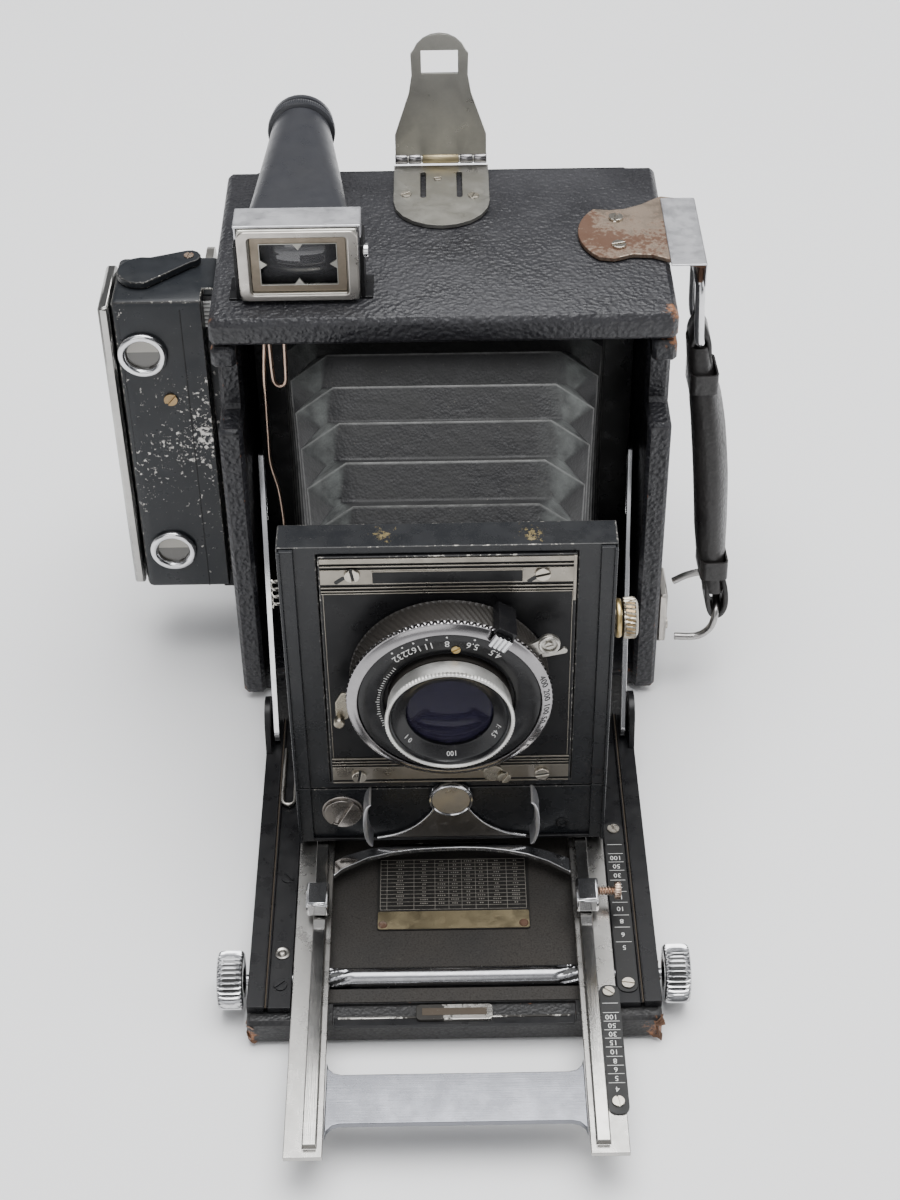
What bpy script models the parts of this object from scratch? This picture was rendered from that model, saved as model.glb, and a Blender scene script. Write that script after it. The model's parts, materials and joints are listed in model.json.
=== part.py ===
"""Press camera on its open bed: leather-covered case, focusing bed, racked rails, lens standard, leaf shutter,
bellows, tubular finder, peep sight, side rangefinder and hand strap.

Sizes are in millimetres. x runs to the right as the lens faces the viewer, z runs up from the table, and the
design's y runs back from the front edge of the case. place() turns them into metres and moves the origin
under the middle of the case.
"""

import math

import bmesh
import bpy
from mathutils import Matrix, Vector

MM = 0.001
GAP = 0.3

# Case
CASE_W = 134.0
CASE_H = 145.5
CASE_D = 87.0
TOP_T = 8.8
BOTTOM_T = 8.7
WALL_T = 7.2
WALL_IN = CASE_W / 2 - WALL_T
TOP_Z = CASE_H - TOP_T
NOTCH = (107.5, 129.5, 13.0)  # low z, high z, depth
PARTITION_Y = 48.0
FILM_W, FILM_H, FILM_Z = 88.0, 62.0, 73.0
KEY, TENSION, RELEASE = (71.0, 118.0), (71.0, 92.0), (71.0, 64.0)  # y, z on the left wall

# Bed and rails
HINGE_Y, HINGE_Z = 1.2, 3.0
BED_W = 114.4
BED_FRONT = -140.5
BED_TOP = 9.2
TRACK_IN, TRACK_OUT = 45.0, 51.0
SHAFT_Y, SHAFT_Z, SHAFT_R = -125.6, 9.8, 2.9
KNOB_R, KNOB_W = 8.15, 7.2
RAIL_IN, RAIL_OUT = 34.4, 44.5
RAIL_FRONT, RAIL_BACK = -187.5, -45.0
RAIL_LOW, RAIL_MID, RAIL_TOP = 13.0, 14.6, 16.5
STOP_PIVOT = 34.0
STRUT_EAR = (-31.0, 15.0)  # y, z of the pivot on the bed
STRUT_CASE = (23.0, 75.0)  # y, z of the stud on the case wall

# Standard and lens
STD_Y = -79.0
STD_HALF = 44.7
STD_TOP = 126.7
FOOT_Z = 16.9
BOARD_HALF = 34.0
BOARD_LOW, BOARD_HIGH = 40.7, 124.2
LENS_Z = 82.5
RING_R = 28.0
RING_Y = -92.0
BARREL_R = 17.4

# Top fittings
FINDER_X, FINDER_Z = -40.7, 158.0
FINDER_FRONT = 9.0
EYE_X, EYE_Y, EYE_Z = -43.3, 96.0, 157.6
PEEP_Y, PEEP_Z = 87.6, 148.7

# Rangefinder and handle
RF_LEFT, RF_RIGHT = -98.5, -67.4
RF_FRONT, RF_BACK = 25.0, 51.0
RF_LOW, RF_HIGH = 27.0, 137.0
WINDOW_R = 7.0
HANDLE_TOP = (74.5, 36.0, 142.0)

COLLECTION = "press_camera"
HELPERS = "press_camera_cutters"

BLACK_LEATHER = ("black_leather", (0.022, 0.022, 0.024), 0.62, 0.0)
BLACK_PAINT = ("black_paint", (0.018, 0.018, 0.020), 0.40, 0.0)
BELLOWS_LEATHER = ("bellows_leather", (0.035, 0.036, 0.037), 0.70, 0.0)
CHROME = ("chrome", (0.75, 0.75, 0.76), 0.16, 1.0)
NICKEL = ("nickel", (0.55, 0.54, 0.51), 0.30, 1.0)
ALUMINIUM = ("aluminium", (0.60, 0.61, 0.63), 0.36, 1.0)
GLASS = ("lens_glass", (0.05, 0.04, 0.09), 0.05, 0.0)
CLOTH = ("curtain_cloth", (0.03, 0.03, 0.03), 0.90, 0.0)


def clear_scene():
    for obj in list(bpy.data.objects):
        bpy.data.objects.remove(obj, do_unlink=True)


def collection(name):
    made = bpy.data.collections.new(name)
    bpy.context.scene.collection.children.link(made)
    return made


def place(x, y, z):
    return Vector((x, y - CASE_D / 2, z)) * MM


def material(spec):
    name, colour, roughness, metallic = spec
    found = bpy.data.materials.get(name)
    if found:
        return found
    made = bpy.data.materials.new(name)
    made.use_nodes = True
    shader = made.node_tree.nodes["Principled BSDF"]
    shader.inputs["Base Color"].default_value = (*colour, 1.0)
    shader.inputs["Roughness"].default_value = roughness
    shader.inputs["Metallic"].default_value = metallic
    return made


def add(name, data, spec, location=None, rotation=(0, 0, 0)):
    """A part with a material, or a hidden helper where spec is None."""
    obj = bpy.data.objects.new(name, data)
    obj.location = location or (0, 0, 0)
    obj.rotation_euler = rotation
    if spec:
        data.materials.append(material(spec))
        bpy.data.collections[COLLECTION].objects.link(obj)
    else:
        bpy.data.collections[HELPERS].objects.link(obj)
        obj.hide_render = True
        obj.display_type = "WIRE"
    return obj


def bevel(obj, width, segments=1):
    modifier = obj.modifiers.new("Bevel", "BEVEL")
    modifier.width = width * MM
    modifier.segments = segments
    modifier.limit_method = "ANGLE"
    modifier.angle_limit = math.radians(40)
    return obj


def boolean(obj, others, operation):
    for other in others:
        modifier = obj.modifiers.new(operation.title(), "BOOLEAN")
        modifier.operation = operation
        modifier.solver = "EXACT"
        modifier.object = other
    return obj


def block(name, low, high, spec=None, edge=0.0, segments=1):
    """A box between two corners, with its own origin in its middle."""
    low, high = place(*low), place(*high)
    mesh = bpy.data.meshes.new(name)
    shape = bmesh.new()
    bmesh.ops.create_cube(shape, size=1.0)
    bmesh.ops.scale(shape, vec=high - low, verts=shape.verts)
    shape.to_mesh(mesh)
    shape.free()
    obj = add(name, mesh, spec, (low + high) / 2)
    return bevel(obj, edge, segments) if edge else obj


TURN = {"x": (0, math.pi / 2, 0), "y": (-math.pi / 2, 0, 0), "z": (0, 0, 0)}


def rod(name, centre, radius, length, axis, spec=None, sides=24):
    mesh = bpy.data.meshes.new(name)
    shape = bmesh.new()
    bmesh.ops.create_cone(
        shape, cap_ends=True, segments=sides, radius1=radius * MM, radius2=radius * MM, depth=length * MM
    )
    shape.to_mesh(mesh)
    shape.free()
    mesh.shade_smooth()
    mesh.set_sharp_from_angle(angle=math.radians(40))
    return add(name, mesh, spec, place(*centre), TURN[axis])


def turned(name, profile, centre, axis, spec=None, sides=32):
    """A Screw of (radius, height) points, from the top down the outer side. Heights run along the axis."""
    mesh = bpy.data.meshes.new(name)
    points = [(radius * MM, 0, height * MM) for radius, height in profile]
    edges = [(i, i + 1) for i in range(len(points) - 1)]
    if min(radius for radius, _ in profile) > 0:
        edges.append((len(points) - 1, 0))
    mesh.from_pydata(points, edges, [])
    obj = add(name, mesh, spec, place(*centre), TURN[axis])
    screw = obj.modifiers.new("Screw", "SCREW")
    screw.steps = screw.render_steps = sides
    screw.use_merge_vertices = True
    screw.merge_threshold = 0.00001
    return obj


PLANE = {"xy": (0, 0, 0), "xz": (math.pi / 2, 0, 0), "yz": (math.pi / 2, 0, math.pi / 2)}


def plate(name, outlines, centre, thickness, plane, spec=None):
    """A flat plate from closed outlines in its plane, the inner ones being holes, made a mesh."""
    curve = bpy.data.curves.new(name, "CURVE")
    curve.dimensions = "2D"
    curve.fill_mode = "BOTH"
    curve.extrude = thickness * MM / 2
    for outline in outlines:
        spline = curve.splines.new("POLY")
        spline.points.add(len(outline) - 1)
        for point, (a, b) in zip(spline.points, outline):
            point.co = (a * MM, b * MM, 0, 1)
        spline.use_cyclic_u = True
    return meshed(add(name, curve, spec, place(*centre), PLANE[plane]), spec)


def meshed(curve_object, spec):
    """The curve's shape as a mesh object of the same name, with its caps welded on."""
    name = curve_object.name
    bpy.context.view_layer.update()
    graph = bpy.context.evaluated_depsgraph_get()
    mesh = bpy.data.meshes.new_from_object(curve_object.evaluated_get(graph))
    shape = bmesh.new()
    shape.from_mesh(mesh)
    bmesh.ops.remove_doubles(shape, verts=shape.verts, dist=0.000001)
    shape.to_mesh(mesh)
    shape.free()
    mesh.materials.clear()
    matrix = curve_object.matrix_world.copy()
    bpy.data.objects.remove(curve_object)
    obj = add(name, mesh, spec)
    obj.matrix_world = matrix
    return obj


def wire(name, points, radius, spec=None, closed=False):
    curve = bpy.data.curves.new(name, "CURVE")
    curve.dimensions = "3D"
    curve.bevel_depth = radius * MM
    curve.bevel_resolution = 2
    curve.use_fill_caps = not closed
    spline = curve.splines.new("POLY")
    spline.points.add(len(points) - 1)
    for point, co in zip(spline.points, points):
        point.co = (*place(*co), 1)
    spline.use_cyclic_u = closed
    return add(name, curve, spec)


def arc(centre, radius, start, end, steps):
    """Points of an arc between two angles in degrees."""
    turns = [math.radians(start + (end - start) * i / steps) for i in range(steps + 1)]
    return [(centre[0] + radius * math.cos(t), centre[1] + radius * math.sin(t)) for t in turns]


def rectangle(low, high):
    return [low, (high[0], low[1]), high, (low[0], high[1])]


def rounded(low, high, radius, steps=3):
    (a, b), (c, d) = low, high
    corners = [((c - radius, b + radius), -90), ((c - radius, d - radius), 0)]
    corners += [((a + radius, d - radius), 90), ((a + radius, b + radius), 180)]
    return [p for centre, start in corners for p in arc(centre, radius, start, start + 90, steps)]


def loft(name, sections, spec, closed_ends):
    """A solid through unlike ring sections. Without closed ends the first and last sections join up."""
    count = len(sections[0])
    points = [place(*p) for section in sections for p in section]
    faces = []
    rows = len(sections)
    for i in range(rows if not closed_ends else rows - 1):
        for j in range(count):
            k = (j + 1) % count
            nxt = (i + 1) % rows
            faces.append((i * count + j, i * count + k, nxt * count + k, nxt * count + j))
    if closed_ends:
        faces.append(tuple(range(count)))
        faces.append(tuple(reversed(range((rows - 1) * count, rows * count))))
    mesh = bpy.data.meshes.new(name)
    mesh.from_pydata(points, [], faces)
    shape = bmesh.new()
    shape.from_mesh(mesh)
    bmesh.ops.recalc_face_normals(shape, faces=shape.faces)
    shape.to_mesh(mesh)
    shape.free()
    return add(name, mesh, spec)


def pivot(name, location, parent=None):
    """An empty on a joint's axis, which carries the body's parts."""
    empty = bpy.data.objects.new(name, None)
    bpy.data.collections[COLLECTION].objects.link(empty)
    empty.location = place(*location)
    bpy.context.view_layer.update()
    if parent:
        keep_parent(empty, parent)
    return empty


def keep_parent(obj, parent):
    bpy.context.view_layer.update()
    obj.parent = parent
    obj.matrix_parent_inverse = parent.matrix_world.inverted()


def carry(parent, *objects):
    for obj in objects:
        keep_parent(obj, parent)


# ---------------------------------------------------------------- case


def build_case():
    half = CASE_W / 2
    block("case_top", (-half, 0, TOP_Z), (half, CASE_D, CASE_H), BLACK_LEATHER, 1.8, 2)
    block("case_bottom", (-half, 3.0, 0), (half, CASE_D, BOTTOM_T), BLACK_LEATHER, 1.5)
    low, high, depth = NOTCH
    top, bottom = TOP_Z - GAP, BOTTOM_T + GAP
    outline = [(CASE_D, bottom), (CASE_D, top), (0, top), (0, high), (depth, high), (depth, low), (0, low)]
    outline += [(0, bottom - 6.0), (2.6, bottom - 8.4), (2.6, bottom)]
    for name, side in (("case_left_wall", -1), ("case_right_wall", 1)):
        wall = plate(name, [outline], (side * (half - WALL_T / 2), 0, 0), WALL_T, "yz", BLACK_LEATHER)
        bevel(wall, 1.2)
        if side < 0:
            boolean(wall, [rod("release_bore", (-half, *RELEASE), 3.9, 7.0, "x")], "DIFFERENCE")
    outer = rectangle((-WALL_IN + GAP, BOTTOM_T + GAP), (WALL_IN - GAP, TOP_Z - GAP))
    film = rectangle((-FILM_W / 2, FILM_Z - FILM_H / 2), (FILM_W / 2, FILM_Z + FILM_H / 2))
    plate("case_partition", [outer, film], (0, PARTITION_Y + 1.5, 0), 3.0, "xz", BLACK_PAINT)


def bellows_section(y, half, low, high, chamfer):
    c = chamfer
    ring = [(half - c, high), (half, high - c * 0.78), (half, low + c * 0.78), (half - c, low)]
    ring += [(-x, z) for x, z in reversed(ring)]
    return [(x, y, z) for x, z in ring]


def build_bellows():
    """A pleated tapering sleeve, open at both ends: an outer row of folds and the same folds one wall in."""
    first, last, folds, wall, depth = PARTITION_Y - 1.0, STD_Y + 13.4, 8, 1.0, 4.5
    outer, inner = [], []
    for i in range(2 * folds + 1):
        t = i / (2 * folds)
        y = first + (last - first) * t
        half = 52.0 + (36.0 - 52.0) * t - depth * (i % 2 == 0)
        low = 20.0 + (42.0 - 20.0) * t + depth * (i % 2 == 0)
        high = 132.5 + (122.0 - 132.5) * t * t - depth * (i % 2 == 0)
        outer.append(bellows_section(y, half, low, high, 11.3))
        inner.append(bellows_section(y, half - wall, low + wall, high - wall, 11.0))
    loft("bellows", outer + inner[::-1], BELLOWS_LEATHER, closed_ends=False)


def build_focal_plane_shutter():
    """Cloth curtain between two rollers behind the partition, with its key, tension knob and release outside."""
    roller_y = PARTITION_Y + 15.0
    rollers = {}
    for name, z, radius in (("curtain_roller_top", 121.5, 5.5), ("curtain_roller_bottom", 24.5, 4.6)):
        rollers[name] = rod(name, (0, roller_y, z), radius, 112.0, "x", NICKEL, 16)
    block("shutter_curtain", (-50, roller_y - 7.6, 22), (50, roller_y - 7.0, 124), CLOTH)
    left = -CASE_W / 2 - GAP
    stem = rod("key_stem", (left - 3, *KEY), 3.0, 6.0, "x", None, 16)
    key = plate(
        "winding_key",
        [arc((-7, 0), 5.0, 90, 270, 6) + arc((7, 0), 5.0, -90, 90, 6)],
        (left - 6.5, *KEY),
        2.6,
        "yz",
        NICKEL,
    )
    boolean(key, [stem], "UNION")
    knob = turned(
        "tension_knob",
        [(0, 7.0), (6.2, 7.0), (6.6, 6.4), (6.6, 1.5), (4.0, 1.5), (4.0, 0), (0, 0)],
        (left, *TENSION),
        "x",
        NICKEL,
        20,
    )
    knob.rotation_euler = (0, -math.pi / 2, 0)
    release = rod("shutter_release", (left - 2.4, *RELEASE), 3.4, 4.8, "x", NICKEL, 16)
    for name, roller in rollers.items():
        carry(pivot(name + "_axis", (0, roller_y, roller.location.z / MM)), roller)
    carry(pivot("winding_key_axis", (left, *KEY)), key)
    carry(pivot("tension_knob_axis", (left, *TENSION)), knob)
    carry(pivot("shutter_release_axis", (left, *RELEASE)), release)


def build_back():
    """Back frame screwed to the case, sprung focusing panel with its ground glass, and folding hood with a lid."""
    y = CASE_D + GAP
    window = rectangle((-46, FILM_Z - 34), (46, FILM_Z + 34))
    plate("back_frame", [rounded((-62, 4), (62, 141), 4.0, 2), window], (0, y + 3.5, 0), 7.0, "xz", BLACK_PAINT)
    y += 7.0 + GAP
    glass = block("ground_glass", (-50, y, FILM_Z - 37), (50, y + 2.0, FILM_Z + 37), GLASS)
    y += 2.0 + GAP
    outer = rounded((-54, FILM_Z - 42), (54, FILM_Z + 42), 3.0, 2)
    inner = rectangle((-45, FILM_Z - 33), (45, FILM_Z + 33))
    hood = plate("focusing_hood", [outer, inner], (0, y + 4.5, 0), 9.0, "xz", BLACK_LEATHER)
    y += 9.0 + GAP
    lid = block("hood_lid", (-53, y, FILM_Z - 41), (53, y + 2.2, FILM_Z + 39.4), BLACK_LEATHER, 0.8)
    panel = pivot("focusing_panel_axis", (0, CASE_D, FILM_Z))
    carry(panel, glass, hood)
    carry(pivot("hood_lid_axis", (0, y + 1.1, FILM_Z + 40.6), panel), lid)


# ---------------------------------------------------------------- bed and rails


def build_bed():
    bed = pivot("bed_axis", (0, HINGE_Y, HINGE_Z))
    rod("bed_hinge_pin", (0, HINGE_Y, HINGE_Z), 1.1, 100.0, "x", NICKEL, 12)
    panel = block("bed_panel", (-BED_W / 2, BED_FRONT, 0.4), (BED_W / 2, -0.6, BED_TOP), BLACK_LEATHER, 1.0)
    low = SHAFT_R + 0.4
    trough = (SHAFT_Z - low, SHAFT_Z + low)
    groove = block("shaft_groove", (-BED_W, SHAFT_Y - low, trough[0]), (BED_W, SHAFT_Y + low, trough[1]))
    boolean(panel, [groove], "DIFFERENCE")
    recess = block("catch_recess", (-33.5, BED_FRONT - 1, BED_TOP - 1.2), (33.5, -134.0, BED_TOP + 1))
    boolean(panel, [recess], "DIFFERENCE")
    carry(bed, panel)
    for name, side in (("bed_track_left", -1), ("bed_track_right", 1)):
        carry(bed, bed_track(name, side))
    catch = block("bed_catch", (-33, BED_FRONT - 1.4, 8.3), (33, BED_FRONT + 1.6, 9.5), CHROME)
    ramp = block("catch_ramp", (-10.5, BED_FRONT - 1.4, 8.8), (10.5, BED_FRONT + 5.0, 10.4))
    boolean(catch, [ramp], "UNION")
    carry(pivot("bed_catch_axis", (0, BED_FRONT, 9.0), bed), catch)
    build_struts(bed)
    return bed


def bed_track(name, side):
    """Side track with a raised outer edge, the shaft's bearing and the strut's ear."""
    z = BED_TOP + GAP

    def bar(part, x0, x1, y0, y1, z0, z1, spec=None):
        xs = sorted((side * x0, side * x1))
        return block(part, (xs[0], y0, z0), (xs[1], y1, z1), spec)

    track = bar(name, TRACK_IN, TRACK_OUT + 0.1, -137.0, -24.0, z, z + 2.0, BLACK_PAINT)
    ridge = bar(name + "_ridge", TRACK_OUT, 52.2, -137.0, -24.0, z, z + 3.6)
    bearing = bar(name + "_bearing", 46.5, 51.5, SHAFT_Y - 4, SHAFT_Y + 4, z + 0.5, z + 5.0)
    outline = [(-40.0, z), (-23.0, z)] + arc((-31.0, 20.0), 6.5, 10, 170, 6)
    ear = plate(name + "_ear", [outline], (side * 56.2, 0, 0), 1.8, "yz")
    ear_foot = bar(name + "_foot", 51.8, 57.1, -40.0, -34.0, z, z + 1.2)
    bore = rod(name + "_bore", (side * 50, SHAFT_Y, SHAFT_Z), 1.9, 16.0, "x", None, 12)
    boolean(track, [ridge, bearing, ear_foot, ear], "UNION")
    return boolean(track, [bore], "DIFFERENCE")


def build_struts(bed):
    """Slotted braces, pivoted on the bed's ears. The stud that each slot slides along is left open."""
    (y0, z0), (y1, z1) = STRUT_EAR, STRUT_CASE
    length = math.hypot(y1 - y0, z1 - z0)
    tilt = math.degrees(math.atan2(z1 - z0, y1 - y0))
    slot = arc((length + 4.0, 0), 1.3, -90, 90, 4) + arc((length - 14.0, 0), 1.3, 90, 270, 4)
    bar = arc((length + 5.0, 0), 3.4, -90, 90, 6) + arc((0, 0), 3.4, 90, 270, 6)
    for name, side in (("strut_left", -1), ("strut_right", 1)):
        strut = plate(name, [bar, slot], (side * 53.8, y0, z0), 1.6, "yz", CHROME)
        lean = math.atan2(side * 3.6, length)
        turn = Matrix.Rotation(math.radians(tilt), 4, "X")
        along = Matrix.Rotation(-lean, 4, "Z")
        base = Matrix.Translation(place(side * 53.8, y0, z0))
        strut.matrix_world = base @ turn @ along @ strut.matrix_world.to_3x3().to_4x4()
        carry(pivot(name + "_axis", (side * 53.8, y0, z0), bed), strut)


def build_rails(bed):
    rails = pivot("rails_axis", (0, RAIL_FRONT, RAIL_LOW), bed)
    for name, side in (("rail_left", -1), ("rail_right", 1)):
        xs = sorted((side * RAIL_IN, side * RAIL_OUT))
        rail = block(name, (xs[0], RAIL_FRONT, RAIL_LOW), (xs[1], RAIL_BACK, RAIL_MID), ALUMINIUM)
        xs = sorted((side * 36.0, side * 39.5))
        front = RAIL_FRONT + 2.6
        strip = block(name + "_strip", (xs[0], front, RAIL_MID - 0.4), (xs[1], RAIL_BACK, RAIL_TOP))
        boolean(rail, [strip], "UNION")
        carry(rails, rail)
    half = RAIL_IN - GAP
    left = arc((-half + 4, -158.0), 4.0, 180, 270, 3) + arc((half - 4, -158.0), 4.0, -90, 0, 3)
    right = arc((half - 4, -181.5), 4.0, 0, 90, 3) + arc((-half + 4, -181.5), 4.0, 90, 180, 3)
    bar = plate("rail_crossbar", [left + right], (0, 0, RAIL_LOW + 0.9), 1.8, "xy", ALUMINIUM)
    carry(rails, bar)
    build_stops(rails)
    return rails


def build_stops(rails):
    """Infinity stops on the rails, which flip over inwards to let the standard past."""
    for name, side in (("infinity_stop_left", -1), ("infinity_stop_right", 1)):
        xs = sorted((side * 35.0, side * 41.4))
        low = RAIL_TOP + GAP
        stop = block(name, (xs[0], -109.0, low), (xs[1], -100.0, low + 5.2), CHROME, 0.5)
        carry(pivot(name + "_axis", (side * STOP_PIVOT, -104.5, low), rails), stop)


def build_focus_drive(bed):
    """Pinion shaft across the bed with a knurled knob on each end."""
    profile = [(0, 57.8), (1.6, 57.8), (1.6, 36.5), (2.2, 36.5), (2.2, 35.5), (SHAFT_R, 35.5)]
    profile += [(radius, -height) for radius, height in reversed(profile)]
    shaft = turned("focus_shaft", profile, (0, SHAFT_Y, SHAFT_Z), "x", CHROME, 16)
    axle = pivot("focus_axis", (0, SHAFT_Y, SHAFT_Z), bed)
    carry(axle, shaft)
    for name, side in (("focus_knob_left", -1), ("focus_knob_right", 1)):
        rim = [(0, KNOB_W), (KNOB_R - 0.6, KNOB_W), (KNOB_R, KNOB_W - 0.6), (KNOB_R, 0.6)]
        rim += [(KNOB_R - 0.6, 0), (0, 0)]
        knob = turned(name, rim, (side * 58.4, SHAFT_Y, SHAFT_Z), "x", CHROME, 28)
        knob.rotation_euler = (0, side * math.pi / 2, 0)
        carry(axle, knob)


# ---------------------------------------------------------------- standard, lens and shutter


def build_standard(rails):
    standard = pivot("standard_axis", (0, STD_Y, FOOT_Z), rails)
    half = STD_HALF - 0.1
    back = STD_Y + 13.0
    base = block("standard_base", (-half, STD_Y, FOOT_Z), (half, back, FOOT_Z + 2.2), BLACK_PAINT)
    apron = block("apron", (-half, STD_Y, FOOT_Z + 1), (half, STD_Y + 1.8, 37.5))
    pieces = [apron]
    for side in (-1, 1):
        xs = sorted((side * half, side * (half - 1.6)))
        pieces.append(block("flange", (xs[0], STD_Y + 2.4, FOOT_Z + 1), (xs[1], back, 61.0)))
        pieces.append(block("toe", (xs[0], STD_Y, FOOT_Z + 1), (xs[1], STD_Y + 3.0, 37.5)))
        xs = sorted((side * 40.3, side * 42.2))
        pieces.append(block("slide", (xs[0], STD_Y + 3.4, FOOT_Z + 1), (xs[1], back - 3.0, 106.0)))
    boolean(base, pieces, "UNION")
    carry(standard, base)
    for name, side in (("clamp_grip_left", -1), ("clamp_grip_right", 1)):
        xs = sorted((side * 22.6, side * 24.2))
        tab = arc((STD_Y - 5.0, 36.0), 4.4, 20, 180, 6) + [(STD_Y - 8.5, 23.0), (STD_Y - 1.0, 23.0)]
        grip = plate(name, [tab], (sum(xs) / 2, 0, 0), 1.6, "yz", CHROME)
        carry(pivot(name + "_axis", (side * 23.4, STD_Y, 30.0), standard), grip)
    knob = turned(
        "rise_knob",
        [(0, 6.2), (5.4, 6.2), (5.8, 5.7), (5.8, 1.9), (3.0, 1.9), (3.0, 0), (0, 0)],
        (STD_HALF + 0.6, STD_Y + 7.0, 95.0),
        "x",
        NICKEL,
        20,
    )
    carry(pivot("rise_knob_axis", (STD_HALF + 0.6, STD_Y + 7.0, 95.0), standard), knob)
    return standard


def build_lens_panel(standard):
    panel = pivot("lens_panel_axis", (0, STD_Y, LENS_Z), standard)
    outer = rectangle((-STD_HALF, 38.0), (STD_HALF, STD_TOP))
    opening = rectangle((-BOARD_HALF - GAP, BOARD_LOW - GAP), (BOARD_HALF + GAP, BOARD_HIGH + GAP))
    frame = plate("lens_panel", [outer, opening], (0, STD_Y + 1.0, 0), 2.0, "xz", BLACK_PAINT)
    pieces = [block("hat", (-STD_HALF, STD_Y, STD_TOP - 1.6), (STD_HALF, STD_Y + 10.0, STD_TOP))]
    for side in (-1, 1):
        xs = sorted((side * STD_HALF, side * (STD_HALF - 1.5)))
        pieces.append(block("cheek", (xs[0], STD_Y, 61.4), (xs[1], STD_Y + 10.0, STD_TOP)))
    boolean(frame, pieces, "UNION")
    board = block(
        "lens_board", (-BOARD_HALF, STD_Y - 0.9, BOARD_LOW), (BOARD_HALF, STD_Y + 2.0, BOARD_HIGH), BLACK_PAINT
    )
    hole = rod("board_hole", (0, STD_Y, LENS_Z), 15.0, 12.0, "y", None, 32)
    boolean(board, [hole], "DIFFERENCE")
    carry(panel, frame, board)
    return panel


def build_shutter(panel):
    """Leaf shutter: fixed drum, turning speed ring, lens barrel with its glass, and three levers."""
    face = STD_Y - 0.9 - GAP
    drum_depth = face - (RING_Y + 3.2)
    boss = drum_depth + 3.7
    rim = [(13.0, boss), (16.6, boss), (16.6, drum_depth), (27.2, drum_depth), (27.2, 0), (13.0, 0)]
    drum = turned("shutter_drum", rim, (0, face, LENS_Z), "y", BLACK_PAINT, 40)
    drum.rotation_euler = (math.pi / 2, 0, 0)
    front = RING_Y + 3.2 - GAP
    ring = [(17.6, 2.6), (24.8, 2.6), (26.6, 3.0), (RING_R, 2.0), (RING_R, 0), (17.6, 0)]
    speed = turned("speed_ring", ring, (0, front, LENS_Z), "y", CHROME, 48)
    speed.rotation_euler = (math.pi / 2, 0, 0)
    tip = front - 3.4 - GAP
    barrel_profile = [(13.0, 6.0), (14.6, 6.4), (16.9, 6.4), (BARREL_R, 5.8), (BARREL_R, 0), (11.0, 0)]
    barrel_profile += [(11.0, 1.0), (12.4, 1.0)]
    barrel = turned("lens_barrel", barrel_profile, (0, tip, LENS_Z), "y", ALUMINIUM, 40)
    barrel.rotation_euler = (math.pi / 2, 0, 0)
    dome = [(0, 3.2), (4.4, 3.0), (8.4, 2.4), (12.0, 1.6), (12.0, 1.3), (0, 1.3)]
    glass = turned("front_lens", dome, (0, tip, LENS_Z), "y", GLASS, 32)
    glass.rotation_euler = (math.pi / 2, 0, 0)
    carry(panel, drum, barrel, glass)
    centre = (0, RING_Y, LENS_Z)
    carry(pivot("speed_ring_axis", centre, panel), speed)
    build_levers(panel, centre, front)


def lever(name, angle, near, far, width, y, thickness, spec):
    """A radial tab round the lens axis, at an angle measured from straight up towards +x."""
    outline = [(-width / 2, near), (width / 2, near), (width / 2 * 0.8, far), (-width / 2 * 0.8, far)]
    turn = math.radians(angle)
    turned_points = [
        (x * math.cos(turn) + z * math.sin(turn), z * math.cos(turn) - x * math.sin(turn)) for x, z in outline
    ]
    return plate(name, [turned_points], (0, y, LENS_Z), thickness, "xz", spec)


def build_levers(panel, centre, front):
    tab = lever("aperture_lever", 31.0, RING_R + 0.4, 35.0, 5.0, front - 1.4, 3.4, CHROME)
    carry(pivot("aperture_lever_axis", centre, panel), tab)
    arm = lever("cocking_lever", -92.0, RING_R + 0.4, 33.0, 9.0, front + 1.4, 2.6, CHROME)
    carry(pivot("cocking_lever_axis", centre, panel), arm)
    hook = lever("release_lever", 52.0, RING_R + 0.4, 36.5, 7.0, front + 1.4, 2.6, CHROME)
    carry(pivot("release_lever_axis", centre, panel), hook)


# ---------------------------------------------------------------- top fittings


def build_finder():
    """Tapered tube from a square front to a round eyepiece. The whole finder tilts for parallax."""
    half_w, half_h = 16.8, 11.6
    y0 = FINDER_FRONT
    outer = rectangle((FINDER_X - half_w, FINDER_Z - half_h), (FINDER_X + half_w, FINDER_Z + half_h))
    mouth = rectangle((FINDER_X - 13.6, FINDER_Z - 9.0), (FINDER_X + 13.6, FINDER_Z + 9.0))
    front = plate("finder_front", [outer, mouth], (0, y0 + 2.0, 0), 4.0, "xz", NICKEL)
    hood = block(
        "hood_strip",
        (FINDER_X - half_w, y0 + 3.0, FINDER_Z + half_h - 1.2),
        (FINDER_X + half_w, y0 + 11.0, FINDER_Z + half_h),
    )
    boolean(front, [hood], "UNION")
    lens = block(
        "finder_lens", (FINDER_X - 14.5, y0 + 4.3, FINDER_Z - 9.6), (FINDER_X + 14.5, y0 + 6.3, FINDER_Z + 9.6), GLASS
    )
    start, end = y0 + 6.6, EYE_Y - 8.3
    sections = []
    for wall in (0.0, 1.2):
        rows = [
            finder_ring(start + (end - start) * t, t, half_w - 1.2 - wall, half_h - 1.8 - wall, 9.2 - wall)
            for t in (0.0, 0.5, 0.93, 1.0)
        ]
        sections += rows if wall == 0.0 else rows[::-1]
    tube = loft("finder_tube", sections, BLACK_PAINT, closed_ends=False)
    eye = [(4.0, 8.0), (8.8, 8.0), (9.2, 7.6), (9.2, 4.6), (10.5, 4.6), (10.5, 0), (4.0, 0)]
    eyepiece = turned("finder_eyepiece", eye, (EYE_X, EYE_Y - 8.0, EYE_Z), "y", BLACK_PAINT, 28)
    carry(pivot("finder_axis", (FINDER_X, y0 + 2.0, FINDER_Z)), front, lens, tube, eyepiece)


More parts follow.
